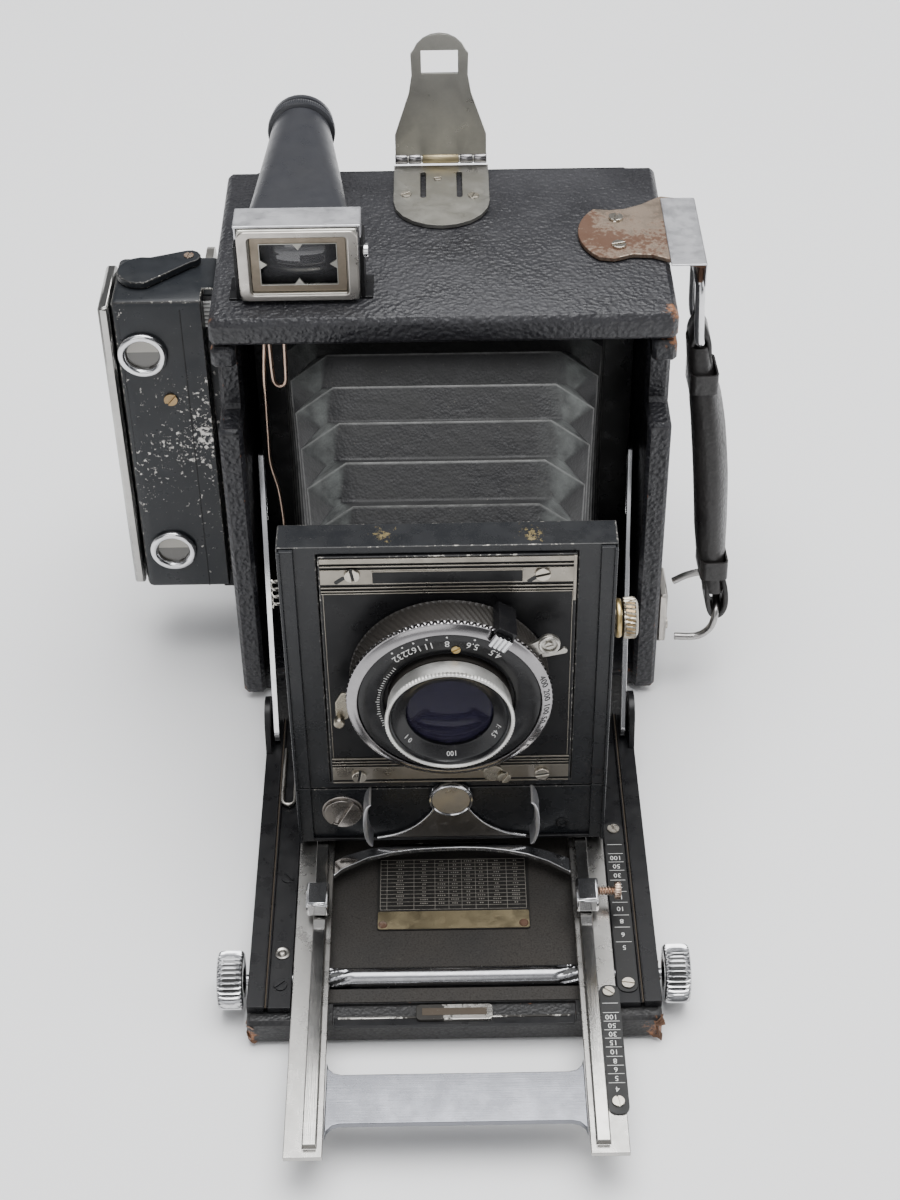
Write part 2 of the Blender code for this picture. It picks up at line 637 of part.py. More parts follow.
def finder_ring(y, t, half_w, half_h, radius):
    """The tube's section at y, from a rectangle at t 0 to a circle at t 1."""
    x_mid = FINDER_X + (EYE_X - FINDER_X) * t
    z_mid = FINDER_Z + (EYE_Z - FINDER_Z) * t
    ring = []
    for k in range(24):
        angle = math.radians(15 * k + 7.5)
        c, s = math.cos(angle), math.sin(angle)
        reach = min(half_w / max(abs(c), 1e-6), half_h / max(abs(s), 1e-6))
        square = (c * reach, s * reach)
        round_ = (c * radius, s * radius)
        ring.append((x_mid + square[0] * (1 - t) + round_[0] * t, y, z_mid + square[1] * (1 - t) + round_[1] * t))
    return ring


def build_peep_sight():
    low = CASE_H + GAP
    base = rectangle((-14.7, 64.0), (14.7, 86.2))[1:3] + [(-14.7, 86.2)] + arc((0, 64.0), 14.7, 180, 360, 10)
    slots = [rounded((x - 0.9, 66.0), (x + 0.9, 82.0), 0.8, 2) for x in (-5.6, 5.6)]
    plate("peep_base", [base] + slots, (0, 0, low + 0.6), 1.2, "xy", NICKEL)
    z = PEEP_Z
    side = [(14.2, z - 0.4), (14.2, 157.0), (12.6, 162.0), (9.6, 171.0), (8.6, 177.0), (8.8, 184.0)]
    crown = arc((0, 182.0), 8.6, 20, 160, 8)
    leaf_outline = side + crown + [(-x, height) for x, height in reversed(side)]
    window = rectangle((-5.6, 177.6), (5.6, 185.2))
    leaf = plate("peep_leaf", [leaf_outline, window], (0, PEEP_Y, 0), 1.0, "xz", NICKEL)
    barrel = rod("peep_barrel", (0, PEEP_Y, PEEP_Z), 1.3, 28.0, "x", None, 12)
    boolean(leaf, [barrel], "UNION")
    carry(pivot("peep_axis", (0, PEEP_Y, PEEP_Z)), leaf)


# ---------------------------------------------------------------- rangefinder and handle


def build_rangefinder():
    housing = block("rangefinder_housing", (RF_LEFT, RF_FRONT, RF_LOW), (RF_RIGHT, RF_BACK, RF_HIGH), BLACK_PAINT, 2.0, 2)
    step = block("rf_step", (-71.6, RF_FRONT - 5, RF_LOW - 5), (RF_RIGHT + 5, RF_FRONT + 7.0, RF_HIGH + 5))
    boolean(housing, [step], "DIFFERENCE")
    windows = []
    for name, x, z in (("rangefinder_window_upper", -90.4, 118.7), ("rangefinder_window_lower", -88.4, 43.4)):
        windows.append(rod(name + "_seat", (x, RF_FRONT, z), WINDOW_R - 1.2, 8.0, "y", None, 24))
        bezel = [(4.6, 1.8), (WINDOW_R - 0.6, 1.8), (WINDOW_R, 1.2), (WINDOW_R, GAP), (WINDOW_R - 1.6, GAP)]
        bezel += [(WINDOW_R - 1.6, -1.6), (4.6, -1.6)]
        made = turned(name, bezel, (x, RF_FRONT, z), "y", CHROME, 28)
        made.rotation_euler = (math.pi / 2, 0, 0)
    boolean(housing, windows, "DIFFERENCE")
    block("rangefinder_cover", (-102.4, RF_FRONT, 29.0), (RF_LEFT - GAP, RF_BACK - 1, 135.0), ALUMINIUM, 0.8)
    post_x, post_y = -76.5, 46.5
    pear = arc((-90.0, 39.0), 7.5, 75, 285, 10) + arc((post_x, post_y), 3.6, -75, 105, 6)
    cap = plate("rangefinder_cap", [pear], (0, 0, RF_HIGH + GAP + 1.1), 2.2, "xy", BLACK_PAINT)
    carry(pivot("rangefinder_cap_axis", (post_x, post_y, RF_HIGH + 1.0)), cap)


def build_handle():
    """Hand strap on the right wall, hung from a bracket on the top and a lower one on the wall."""
    low = CASE_H + GAP
    outline = arc((50.0, 43.5), 9.5, 120, 240, 6) + [(66.5, 25.0), (76.6, 23.5), (76.6, 62.5), (66.5, 61.0)]
    bracket = plate("handle_bracket_top", [outline], (0, 0, low + 0.7), 1.4, "xy", NICKEL)
    flange = block("bracket_flange", (75.2, 26.0, 139.5), (76.6, 60.0, low + 1.0))
    boolean(bracket, [flange], "UNION")
    block("handle_bracket_bottom", (CASE_W / 2 + GAP, 4.5, 18.0), (CASE_W / 2 + 3.2, 19.5, 37.5), NICKEL, 0.6)
    loop = [(76.2, 28.5, 137.8), (76.8, 27.5, 121.0), (77.8, 30.5, 116.6)]
    loop += [(77.8, 41.5, 116.6), (76.8, 44.5, 121.0), (76.2, 43.5, 137.8)]
    top_ring = wire("handle_ring_top", loop, 1.1, CHROME, closed=True)
    bail = [(73.6, 6.5, 19.6), (87.0, 5.5, 29.8), (88.0, 20.0, 31.0), (73.6, 18.5, 25.6)]
    bottom_ring = wire("handle_ring_bottom", bail, 1.1, CHROME)
    strap = build_strap()
    carry(pivot("handle_axis", HANDLE_TOP), top_ring, bottom_ring, strap)


# The strap's middle line, and there its half width, half thickness and turn in degrees.
STRAP_LINE = [
    ((78.2, 36.0, 115.0), 6.4, 2.6, 0.0),
    ((79.4, 35.0, 106.0), 7.0, 3.0, 6.0),
    ((81.0, 32.5, 94.0), 8.2, 3.3, 12.0),
    ((82.6, 28.5, 77.0), 8.5, 3.3, 14.0),
    ((84.4, 23.5, 58.0), 8.5, 3.3, 14.0),
    ((86.0, 18.0, 42.0), 7.2, 3.0, 10.0),
    ((87.2, 13.5, 33.0), 6.2, 2.6, 4.0),
]


def build_strap():
    sections = []
    for (x, y, z), half_w, half_t, turn in STRAP_LINE:
        c, s = math.cos(math.radians(turn)), math.sin(math.radians(turn))
        flat = [(-half_t, -half_w + 2), (-half_t, half_w - 2), (-half_t + 1.6, half_w)]
        flat += [(half_t - 1.6, half_w), (half_t, half_w - 2), (half_t, -half_w + 2)]
        flat += [(half_t - 1.6, -half_w), (-half_t + 1.6, -half_w)]
        sections.append([(x + a * c + b * s, y + b * c - a * s, z) for a, b in flat])
    return loft("handle_strap", sections, BLACK_LEATHER, closed_ends=True)


def main():
    clear_scene()
    collection(COLLECTION)
    collection(HELPERS)
    build_case()
    build_bellows()
    build_focal_plane_shutter()
    build_back()
    bed = build_bed()
    build_focus_drive(bed)
    rails = build_rails(bed)
    standard = build_standard(rails)
    build_shutter(build_lens_panel(standard))
    build_finder()
    build_peep_sight()
    build_rangefinder()
    build_handle()


main()
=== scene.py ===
"""The looks of a press camera on its open bed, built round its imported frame.

Lengths are in millimetres in the frame's own axes: x runs right as the lens faces the viewer, y runs back and
z runs up from the table. Places are worked out from the frame's nodes and joints.
"""

import json
import math
import random

import bmesh
import bpy
from mathutils import Matrix, Vector


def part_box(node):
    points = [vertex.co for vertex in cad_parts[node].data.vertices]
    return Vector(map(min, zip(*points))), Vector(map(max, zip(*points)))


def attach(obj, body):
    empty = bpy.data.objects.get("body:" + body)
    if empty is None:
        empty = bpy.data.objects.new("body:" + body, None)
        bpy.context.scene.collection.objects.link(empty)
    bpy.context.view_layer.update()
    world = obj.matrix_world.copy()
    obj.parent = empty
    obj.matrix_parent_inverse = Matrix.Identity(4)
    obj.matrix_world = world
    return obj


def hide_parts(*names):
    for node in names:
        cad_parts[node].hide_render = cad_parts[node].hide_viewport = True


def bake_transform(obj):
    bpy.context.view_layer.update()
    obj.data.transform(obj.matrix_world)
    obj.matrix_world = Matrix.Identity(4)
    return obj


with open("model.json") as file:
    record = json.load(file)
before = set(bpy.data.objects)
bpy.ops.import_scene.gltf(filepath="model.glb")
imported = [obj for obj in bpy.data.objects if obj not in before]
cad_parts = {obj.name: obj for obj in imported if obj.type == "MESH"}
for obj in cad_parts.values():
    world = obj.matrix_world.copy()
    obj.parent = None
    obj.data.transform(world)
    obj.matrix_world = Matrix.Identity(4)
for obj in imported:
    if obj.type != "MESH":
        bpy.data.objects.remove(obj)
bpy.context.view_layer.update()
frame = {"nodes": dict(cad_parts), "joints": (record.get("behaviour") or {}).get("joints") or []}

MM = 0.001
FRONT = (0, -1, 0)
BACK = (0, 1, 0)
UP = (0, 0, 1)
SIDEWAYS = Matrix(((0, 0, 1, 0), (1, 0, 0, 0), (0, 1, 0, 0), (0, 0, 0, 1)))  # x and y of an outline become y and z
LEFT = (-1, 0, 0)
RIGHT = (1, 0, 0)


def span(node):
    """Lowest and highest corner of a CAD node, in millimetres."""
    low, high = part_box(node)
    return low / MM, high / MM


def joint_at(name):
    found = next(joint for joint in frame["joints"] if joint["name"] == name)
    return Vector(found["pos_m"]) / MM


# ---------------------------------------------------------------- materials


class Look:
    """One procedural material: a Principled shader, with short calls for the nodes that feed it."""

    def __init__(self, name, colour, roughness, metallic=0.0, **sockets):
        self.made = bpy.data.materials.new(name)
        self.made.use_nodes = True
        self.tree = self.made.node_tree
        self.shader = self.tree.nodes["Principled BSDF"]
        self.shader.inputs["Base Color"].default_value = (*colour, 1.0)
        self.shader.inputs["Roughness"].default_value = roughness
        self.shader.inputs["Metallic"].default_value = metallic
        for socket, value in sockets.items():
            self.shader.inputs[socket.replace("_", " ")].default_value = value
        self.place = self.add("ShaderNodeTexCoord").outputs["Object"]
        self.normal = None

    def add(self, kind, inputs=None, **settings):
        made = self.tree.nodes.new(kind)
        for name, value in settings.items():
            setattr(made, name, value)
        for name, value in (inputs or {}).items():
            if isinstance(value, bpy.types.NodeSocket):
                self.tree.links.new(value, made.inputs[name])
            else:
                made.inputs[name].default_value = value
        return made

    def noise(self, size, detail=3.0, stretch=(1, 1, 1), rough=0.55):
        """Noise with features of about this size."""
        vector = self.add("ShaderNodeVectorMath", {0: self.place, 1: stretch}, operation="MULTIPLY").outputs[0]
        inputs = {"Vector": vector, "Scale": 1 / (size * MM), "Detail": detail, "Roughness": rough}
        return self.add("ShaderNodeTexNoise", inputs).outputs[0]

    def cells(self, size, feature="F1", stretch=(1, 1, 1)):
        vector = self.add("ShaderNodeVectorMath", {0: self.place, 1: stretch}, operation="MULTIPLY").outputs[0]
        inputs = {"Vector": vector, "Scale": 1 / (size * MM)}
        return self.add("ShaderNodeTexVoronoi", inputs, feature=feature).outputs["Distance"]

    def remap(self, value, low, high, to_low=0.0, to_high=1.0):
        inputs = {"Value": value, "From Min": low, "From Max": high, "To Min": to_low, "To Max": to_high}
        return self.add("ShaderNodeMapRange", inputs).outputs[0]

    def maths(self, operation, a, b):
        return self.add("ShaderNodeMath", {0: a, 1: b}, operation=operation).outputs[0]

    def near(self, point, radius, axes=(1, 1, 1)):
        """1 at a point, falling to 0 at a radius. An axis with 0 isn't counted, so the point becomes a line."""
        flat = self.add("ShaderNodeVectorMath", {0: self.place, 1: axes}, operation="MULTIPLY").outputs[0]
        there = tuple(c * MM * on for c, on in zip(point, axes))
        away = self.add("ShaderNodeVectorMath", {0: flat, 1: there}, operation="DISTANCE").outputs["Value"]
        return self.remap(away, 0.0, radius * MM, 1.0, 0.0)

    def attribute(self, name):
        return self.add("ShaderNodeAttribute", attribute_name=name).outputs["Fac"]

    def mix(self, share, a, b):
        inputs = {0: share}
        for index, colour in ((6, a), (7, b)):
            inputs[index] = colour if isinstance(colour, bpy.types.NodeSocket) else (*colour, 1.0)
        return self.add("ShaderNodeMix", inputs, data_type="RGBA").outputs[2]

    def feed(self, socket, value):
        self.tree.links.new(value, self.shader.inputs[socket])

    def relief(self, height, depth, strength=1.0):
        """Adds a bump of this depth where height runs from 0 to 1."""
        inputs = {"Height": height, "Distance": depth * MM, "Strength": strength}
        if self.normal:
            inputs["Normal"] = self.normal
        self.normal = self.add("ShaderNodeBump", inputs).outputs[0]
        self.feed("Normal", self.normal)


def leather(name, dark, light, grain, depth, scuffs=(), scuff_colour=(0.24, 0.10, 0.04), rough=(0.42, 0.68)):
    """Grained leather: pebbles, fine creases, dusty patches and scuffs near the given places."""
    look = Look(name, dark, 0.55, Specular_IOR_Level=0.5)
    pebble = look.cells(grain, "SMOOTH_F1")
    crease = look.noise(grain * 2.2, 5.0, rough=0.6)
    patch = look.noise(22.0, 4.0)
    tone = look.mix(look.remap(patch, 0.35, 0.70), dark, light)
    # Darker between the pebbles: painted shade in the hollows of the grain.
    tone = look.mix(look.remap(pebble, 0.45, 0.85, 0.0, 0.55), tone, [c * 0.35 for c in dark])
    dust = look.remap(look.noise(1.1, 5.0), 0.62, 0.78, 0.0, 0.30)
    tone = look.mix(dust, tone, (0.085, 0.08, 0.072))
    for point, radius, axes in scuffs:
        amount = look.maths("MULTIPLY", look.near(point, radius, axes), 0.55)
        worn = look.maths("ADD", look.noise(2.4, 6.0, rough=0.7), amount)
        tone = look.mix(look.remap(worn, 0.86, 0.98), tone, scuff_colour)
    look.feed("Base Color", tone)
    uneven = look.remap(patch, 0.3, 0.7, *rough)
    look.feed("Roughness", look.maths("ADD", uneven, look.remap(pebble, 0.2, 0.8, -0.08, 0.12)))
    look.relief(look.remap(pebble, 0.0, 0.8, 1.0, 0.0), depth)
    look.relief(crease, depth * 1.6)
    return look.made


def worn_edge(name, dark, bare, share, metallic=0.0, size=2.0):
    """The strip along an edge where a covering is rubbed through. share is how much of it is bare."""
    look = Look(name, dark, 0.5)
    mask = look.remap(look.noise(size, 6.0, rough=0.7), 0.62 - share * 0.3, 0.68 - share * 0.3)
    long_mask = look.remap(look.noise(size * 12, 3.0), 0.42, 0.56)
    mask = look.maths("MULTIPLY", mask, long_mask)
    look.feed("Base Color", look.mix(mask, dark, bare))
    look.feed("Roughness", look.remap(look.noise(0.6), 0.3, 0.7, 0.38, 0.62))
    if metallic:
        look.feed("Metallic", look.maths("MULTIPLY", mask, metallic))
    look.relief(look.noise(0.5, 4.0), 0.04)
    return look.made


def enamel(name, colour, dust=0.25, chips=0.0, gloss=(0.22, 0.42), chip_colour=(0.42, 0.40, 0.36), spots=(),
           specular=0.34):
    """Black enamel with a faint ripple, dust, and chips down to the metal."""
    look = Look(name, colour, 0.3, Specular_IOR_Level=specular)
    smear = look.noise(16.0, 4.0)
    specks = look.remap(look.noise(0.9, 5.0, rough=0.7), 0.64, 0.74, 0.0, dust)
    tone = look.mix(specks, colour, (0.16, 0.15, 0.135))
    tone = look.mix(look.remap(smear, 0.45, 0.75, 0.0, 0.22), tone, (0.045, 0.044, 0.042))
    worn = look.noise(1.7, 7.0, rough=0.72)
    level = look.remap(look.noise(34.0, 2.0), 0.42, 0.72, 0.0, chips)
    for point, radius, axes, amount in spots:
        level = look.maths("ADD", level, look.maths("MULTIPLY", look.near(point, radius, axes), amount))
    mask = look.remap(look.maths("ADD", worn, level), 0.78, 0.80)
    look.feed("Base Color", look.mix(mask, tone, chip_colour))
    look.feed("Metallic", look.maths("MULTIPLY", mask, 0.7))
    rough = look.remap(look.noise(5.0, 5.0), 0.3, 0.7, *gloss)
    look.feed("Roughness", rough)
    look.relief(look.noise(0.7, 2.0), 0.012)
    look.relief(mask, -0.05)
    return look.made


def metal(name, colour, rough, along=(1, 1, 1), scratch=0.02, tarnish=0.0, stain=(0.20, 0.13, 0.07), spots=(),
          step=None, cloudy=0.78):
    """Plated or bare metal: brushed along one way, with uneven gloss and tarnish, and glossier above a step."""
    look = Look(name, colour, rough, 1.0)
    brushed = look.noise(0.35, 4.0, along)
    cloud = look.noise(7.0, 5.0, rough=0.65)
    tone = look.mix(look.remap(cloud, 0.35, 0.75), colour, [c * cloudy for c in colour])
    level = look.remap(look.noise(26.0, 3.0), 0.35, 0.75, 0.0, tarnish)
    for point, radius, axes, amount in spots:
        level = look.maths("ADD", level, look.maths("MULTIPLY", look.near(point, radius, axes), amount))
    mask = look.remap(look.maths("ADD", look.noise(1.5, 7.0, rough=0.7), level), 0.68, 0.86)
    look.feed("Base Color", look.mix(mask, tone, stain))
    look.feed("Metallic", look.remap(mask, 0.0, 1.0, 1.0, 0.25))
    uneven = look.remap(cloud, 0.3, 0.75, rough * 0.75, min(1.0, rough * 1.5))
    if step:
        height = look.add("ShaderNodeSeparateXYZ", {0: look.place}).outputs["Z"]
        uneven = look.maths("MULTIPLY", uneven, look.remap(height, step * MM, (step + 0.15) * MM, 1.0, 0.45))
    look.feed("Roughness", look.maths("ADD", uneven, look.maths("MULTIPLY", mask, 0.35)))
    look.relief(brushed, scratch)
    return look.made


def tinted_glass(name, colour, through, roughness=0.03, coat=0.6):
    look = Look(name, colour, roughness, IOR=1.5 if coat else 1.22, Transmission_Weight=through, Coat_Weight=coat)
    look.shader.inputs["Coat Roughness"].default_value = 0.02
    haze = look.noise(3.0, 4.0)
    look.feed("Roughness", look.remap(haze, 0.4, 0.8, roughness, roughness + 0.10))
    look.relief(haze, 0.002)
    return look.made


def cloth(name, colour, thread):
    look = Look(name, colour, 0.9, Sheen_Weight=0.2)
    wave = look.add("ShaderNodeTexWave", {"Vector": look.place, "Scale": 0.16 / (thread * MM)}).outputs[1]
    look.feed("Base Color", look.mix(look.noise(4.0), colour, [c * 1.8 for c in colour]))
    look.relief(wave, 0.05)
    return look.made


def ink(name, colour, fade=0.35):
    """Engraved and filled figures and lines, faded in places."""
    look = Look(name, colour, 0.5)
    mask = look.remap(look.noise(0.8, 5.0), 0.45, 0.65, 0.0, fade)
    look.feed("Base Color", look.mix(mask, colour, [c * 0.45 for c in colour]))
    look.relief(look.noise(0.3), 0.01)
    return look.made


def bellows_leather():
    """Thin leather, greyed along the folds by wear and by a painted highlight on the crests, with the corner panels
    painted paler as lit facets. The mesh says where, as fold and corner.
    """
    look = Look("bellows_leather", (0.012, 0.012, 0.013), 0.6, Specular_IOR_Level=0.35)
    fold = look.attribute("fold")
    corner = look.attribute("corner")
    smear = look.noise(9.0, 5.0)
    base = look.mix(look.remap(smear, 0.35, 0.7), (0.007, 0.007, 0.008), (0.020, 0.020, 0.020))
    # Grey along the crests: partly rubbed wear, partly a painted highlight.
    rubbed = look.maths("MULTIPLY", fold, look.remap(look.noise(4.0, 5.0), 0.30, 0.65, 0.35, 1.0))
    base = look.mix(look.maths("MULTIPLY", rubbed, 0.8), base, (0.17, 0.17, 0.165))
    # Paler corner panels: painted light on the corner facets, made uneven by noise.
    pale = look.maths("MULTIPLY", corner, look.remap(look.noise(5.0, 5.0), 0.3, 0.7, 0.15, 0.75))
    base = look.mix(pale, base, (0.095, 0.102, 0.098))
    dust = look.remap(look.noise(0.8, 5.0, rough=0.7), 0.64, 0.74, 0.0, 0.35)
    look.feed("Base Color", look.mix(dust, base, (0.19, 0.17, 0.13)))
    look.feed("Roughness", look.remap(smear, 0.3, 0.7, 0.45, 0.7))
    look.relief(look.remap(look.cells(0.8), 0.0, 0.8, 1.0, 0.0), 0.06)
    look.relief(look.noise(3.5, 3.0), 0.25)
    return look.made


CASE_LOW, CASE_HIGH = span("case_bottom")[0], span("case_top")[1]
BED_LOW, BED_HIGH = span("bed_panel")
BOARD_LOW, BOARD_HIGH = span("lens_board")
TOP_LOW = span("case_top")[0]
CORNERS = [((x, CASE_LOW.y, z), wide, (1, 1, 1)) for x, wide in ((CASE_LOW.x, 5.0), (CASE_HIGH.x, 10.0))
           for z in (TOP_LOW.z, CASE_HIGH.z)]
CORNERS += [((x, y, 2.0), 8.0, (1, 1, 1)) for x in (CASE_LOW.x, CASE_HIGH.x) for y in (CASE_LOW.y, CASE_HIGH.y)]
BED_ENDS = [((x, BED_LOW.y, 4.0), wide, (1, 1, 1)) for x, wide in ((BED_LOW.x, 7.0), (BED_HIGH.x, 11.0))]

LEATHER = leather("case_leather", (0.011, 0.011, 0.014), (0.027, 0.027, 0.031), 1.25, 0.34, CORNERS,
                  rough=(0.33, 0.56))
BED_LEATHER = leather("bed_leather", (0.010, 0.010, 0.011), (0.022, 0.021, 0.020), 0.85, 0.14, BED_ENDS)
STRAP_LEATHER = leather("strap_leather", (0.010, 0.009, 0.009), (0.022, 0.020, 0.019), 1.1, 0.08, rough=(0.3, 0.5))
LEATHER_EDGE = worn_edge("scuffed_leather", (0.018, 0.017, 0.018), (0.25, 0.09, 0.035), 0.05)
BELLOWS = bellows_leather()
ENAMEL = enamel("black_enamel", (0.007, 0.007, 0.008), specular=0.26)
CHIP_SPOTS = [((-88.0, span("rangefinder_housing")[0].y, 82.0), 34.0, (1, 1, 0.6), 0.17),
              ((-97.0, span("rangefinder_housing")[0].y, 136.0), 9.0, (1, 1, 0.6), 0.22)]
CHIPPED = enamel("chipped_enamel", (0.013, 0.015, 0.018), 0.35, 0.19, (0.25, 0.45), (0.55, 0.53, 0.50), CHIP_SPOTS)
ENAMEL_EDGE = worn_edge("rubbed_enamel", (0.014, 0.014, 0.014), (0.44, 0.42, 0.38), 0.25, 0.85, 1.2)
CHROME = metal("chrome", (0.74, 0.74, 0.75), 0.11, (1, 1, 1), 0.004, 0.03)
NICKEL = metal("nickel", (0.52, 0.50, 0.46), 0.30, (0.15, 1, 1), 0.010, 0.10)
SIGHT_NICKEL = metal("sight_nickel", (0.45, 0.44, 0.40), 0.33, (1, 1, 0.06), 0.012, 0.07)
RAIL_METAL = metal("satin_rail", (0.46, 0.45, 0.43), 0.27, (1, 0.03, 1), 0.012, 0.06, (0.26, 0.21, 0.15),
                   step=span("rail_right")[0].z + 1.8)
BAR_METAL = metal("satin_bar", (0.195, 0.20, 0.22), 0.22, (0.03, 1, 1), 0.012, 0.03, (0.10, 0.09, 0.08), cloudy=0.93)
BRIGHT_SATIN = metal("bright_satin", (0.62, 0.62, 0.64), 0.42, (0.1, 1, 1), 0.010, 0.05, (0.40, 0.36, 0.32))
RUSTY = metal("rusty_nickel", (0.36, 0.29, 0.23), 0.42, (1, 0.2, 1), 0.02, 0.78, (0.11, 0.058, 0.036))
BRASS = metal("brass", (0.62, 0.47, 0.22), 0.32, (1, 1, 1), 0.01, 0.12, (0.16, 0.10, 0.04))
LENS_GLASS = tinted_glass("coated_glass", (0.085, 0.075, 0.15), 0.85, 0.02, 0.0)
CLEAR_GLASS = tinted_glass("finder_glass", (0.86, 0.88, 0.88), 0.95)
CLOTH = cloth("curtain_cloth", (0.018, 0.018, 0.018), 0.35)
TRIM_NICKEL = metal("trim_nickel", (0.31, 0.285, 0.245), 0.30, (0.1, 1, 1), 0.012, 0.12, (0.10, 0.08, 0.05))
CHROME_SATIN = metal("satin_chrome", (0.31, 0.30, 0.305), 0.18, (1, 1, 1), 0.006, 0.05, (0.25, 0.18, 0.15))
BARREL_METAL = metal("barrel_metal", (0.78, 0.77, 0.74), 0.46, (1, 0.1, 1), 0.008, 0.12, (0.34, 0.26, 0.15))
SPUN_STEEL = metal("spun_steel", (0.40, 0.37, 0.34), 0.25, (1, 1, 1), 0.006, 0.02)
DUSTY_PLATE = metal("dusty_plate", (0.17, 0.16, 0.15), 0.40, (1, 1, 1), 0.012, 0.20, (0.09, 0.08, 0.07))
KNOB_CHROME = metal("knob_chrome", (0.60, 0.60, 0.61), 0.14, (1, 1, 1), 0.004, 0.03)
DIAL_BLACK = enamel("dial_black", (0.008, 0.008, 0.009), 0.2, 0.0, (0.14, 0.30))
WORN_BRASS_BLACK = enamel("worn_knurl", (0.030, 0.027, 0.024), 0.5, 0.05, (0.35, 0.5), (0.25, 0.15, 0.07))
TOP_SPOTS = [((x, span("lens_panel")[0].y + 5.0, span("lens_panel")[1].z), 9.0, (1, 1, 1), 0.30) for x in (-17, 22)]
STANDARD_ENAMEL = enamel("standard_enamel", (0.011, 0.012, 0.014), 0.3, 0.0, (0.2, 0.36), (0.30, 0.24, 0.12),
                         TOP_SPOTS)
# Near-black with a blue tint, for the element behind the front glass: painted shade inside the lens, with the coating's
# tint.
COATED_INNER_SHADE = tinted_glass("coated_inner_painted_shade", (0.004, 0.003, 0.016), 0.0, 0.03, 0.0)
FELT = leather("leatherette", (0.016, 0.014, 0.012), (0.030, 0.026, 0.022), 0.45, 0.05, (), rough=(0.7, 0.9))
FRAYED = worn_edge("frayed_leather", (0.10, 0.045, 0.02), (0.42, 0.18, 0.07), 0.9)
CHIPPED_CHROME = metal("chipped_chrome", (0.66, 0.64, 0.60), 0.24, (0.1, 1, 1), 0.01, 0.68, (0.02, 0.018, 0.015))
PLATE_BLACK = enamel("plate_black", (0.014, 0.013, 0.012), 0.35, 0.02, (0.3, 0.5))
PLATE_BRASS = metal("plate_brass", (0.50, 0.42, 0.26), 0.38, (0.1, 1, 1), 0.01, 0.14, (0.20, 0.13, 0.06))
PLATE_SILVER = ink("plate_silver", (0.27, 0.25, 0.22), 0.8)
NICKEL_SCREW = metal("screw_nickel", (0.56, 0.52, 0.45), 0.28, (1, 1, 1), 0.01, 0.10, (0.16, 0.10, 0.05))
SCALE_BLACK = enamel("scale_black", (0.010, 0.010, 0.010), 0.3, 0.03, (0.3, 0.5), (0.25, 0.13, 0.06))
GRIME = enamel("grimy_groove", (0.060, 0.046, 0.032), 0.6, 0.0, (0.6, 0.8))
COPPER = metal("copper_wire", (0.58, 0.43, 0.34), 0.30, (1, 1, 1), 0.01, 0.10, (0.14, 0.07, 0.04))
SHAFT_METAL = metal("shaft_metal", (0.30, 0.30, 0.31), 0.20, (0.05, 1, 1), 0.012, 0.06)
FINDER_GLASS = tinted_glass("finder_lens_glass", (0.16, 0.16, 0.17), 0.5)
FINDER_ENAMEL = enamel("finder_enamel", (0.030, 0.031, 0.036), 0.25, 0.0, (0.26, 0.38), specular=0.5)
BRONZE = metal("bronze_mask", (0.30, 0.255, 0.20), 0.42, (1, 1, 1), 0.015, 0.12, (0.14, 0.09, 0.05))
FRAME_NICKEL = metal("frame_nickel", (0.56, 0.53, 0.49), 0.30, (1, 1, 0.2), 0.012, 0.12, (0.22, 0.14, 0.09))
WINDOW_GLASS = tinted_glass("window_glass", (0.10, 0.095, 0.085), 0.0, 0.05)
# Pale glass over the upper half of each rangefinder window: a painted reflection of the bright room above.
PAINTED_WINDOW_REFLECTION = tinted_glass("window_painted_reflection", (0.36, 0.34, 0.30), 0.0, 0.05)
# Dirty brass for the adjusting screw; under the rise knob's flutes it is painted shade in the grooves, with grime.
DIRTY_BRASS_AND_SHADE = metal("dirty_brass_and_groove_shade", (0.34, 0.24, 0.13), 0.40, (1, 1, 1), 0.02, 0.2, (0.10, 0.06, 0.03))
WORN_NICKEL = metal("worn_nickel", (0.36, 0.33, 0.27), 0.26, (1, 1, 1), 0.012, 0.14, (0.16, 0.10, 0.05))
BAIL_METAL = metal("bail_metal", (0.40, 0.39, 0.38), 0.28, (1, 1, 1), 0.01, 0.16, (0.04, 0.03, 0.025))
WHITE_INK = ink("white_fill", (0.72, 0.72, 0.70))
# Black for printed figures and ticks, and painted shade in screw slots and in the cut grooves of the focus shaft and
# knobs.
BLACK_PRINT_AND_SHADE = ink("black_print_and_painted_shade", (0.012, 0.012, 0.012))


# ---------------------------------------------------------------- shapes


def facing(at, toward, turn=0.0):
    """Moves a shape from the origin to a place and turns its +z towards a direction."""
    quaternion = Vector(toward).to_track_quat("Z", "Y")
    spin = Matrix.Rotation(math.radians(turn), 4, "Z")
    return Matrix.Translation(Vector(at)) @ quaternion.to_matrix().to_4x4() @ spin


def arc(centre, radius, start, end, steps=12):
    turns = [math.radians(start + (end - start) * i / steps) for i in range(steps + 1)]
    return [(centre[0] + radius * math.cos(t), centre[1] + radius * math.sin(t)) for t in turns]


def rounded(low, high, radius, steps=4):
    (a, b), (c, d) = low, high
    corners = [((c - radius, b + radius), -90), ((c - radius, d - radius), 0)]
    corners += [((a + radius, d - radius), 90), ((a + radius, b + radius), 180)]
    return [p for centre, start in corners for p in arc(centre, radius, start, start + 90, steps)]


def prism(outline, low, high):
    """A flat outline in x and y, from one height to another."""
    count = len(outline)
    points = [(x, y, z) for z in (low, high) for x, y in outline]
    faces = [(i, (i + 1) % count, count + (i + 1) % count, count + i) for i in range(count)]
    return points, faces + [tuple(range(count)), tuple(range(count, 2 * count))]


def box(low, high):
    (a, b, c), (d, e, f) = low, high
    return prism([(a, b), (d, b), (d, e), (a, e)], c, f)


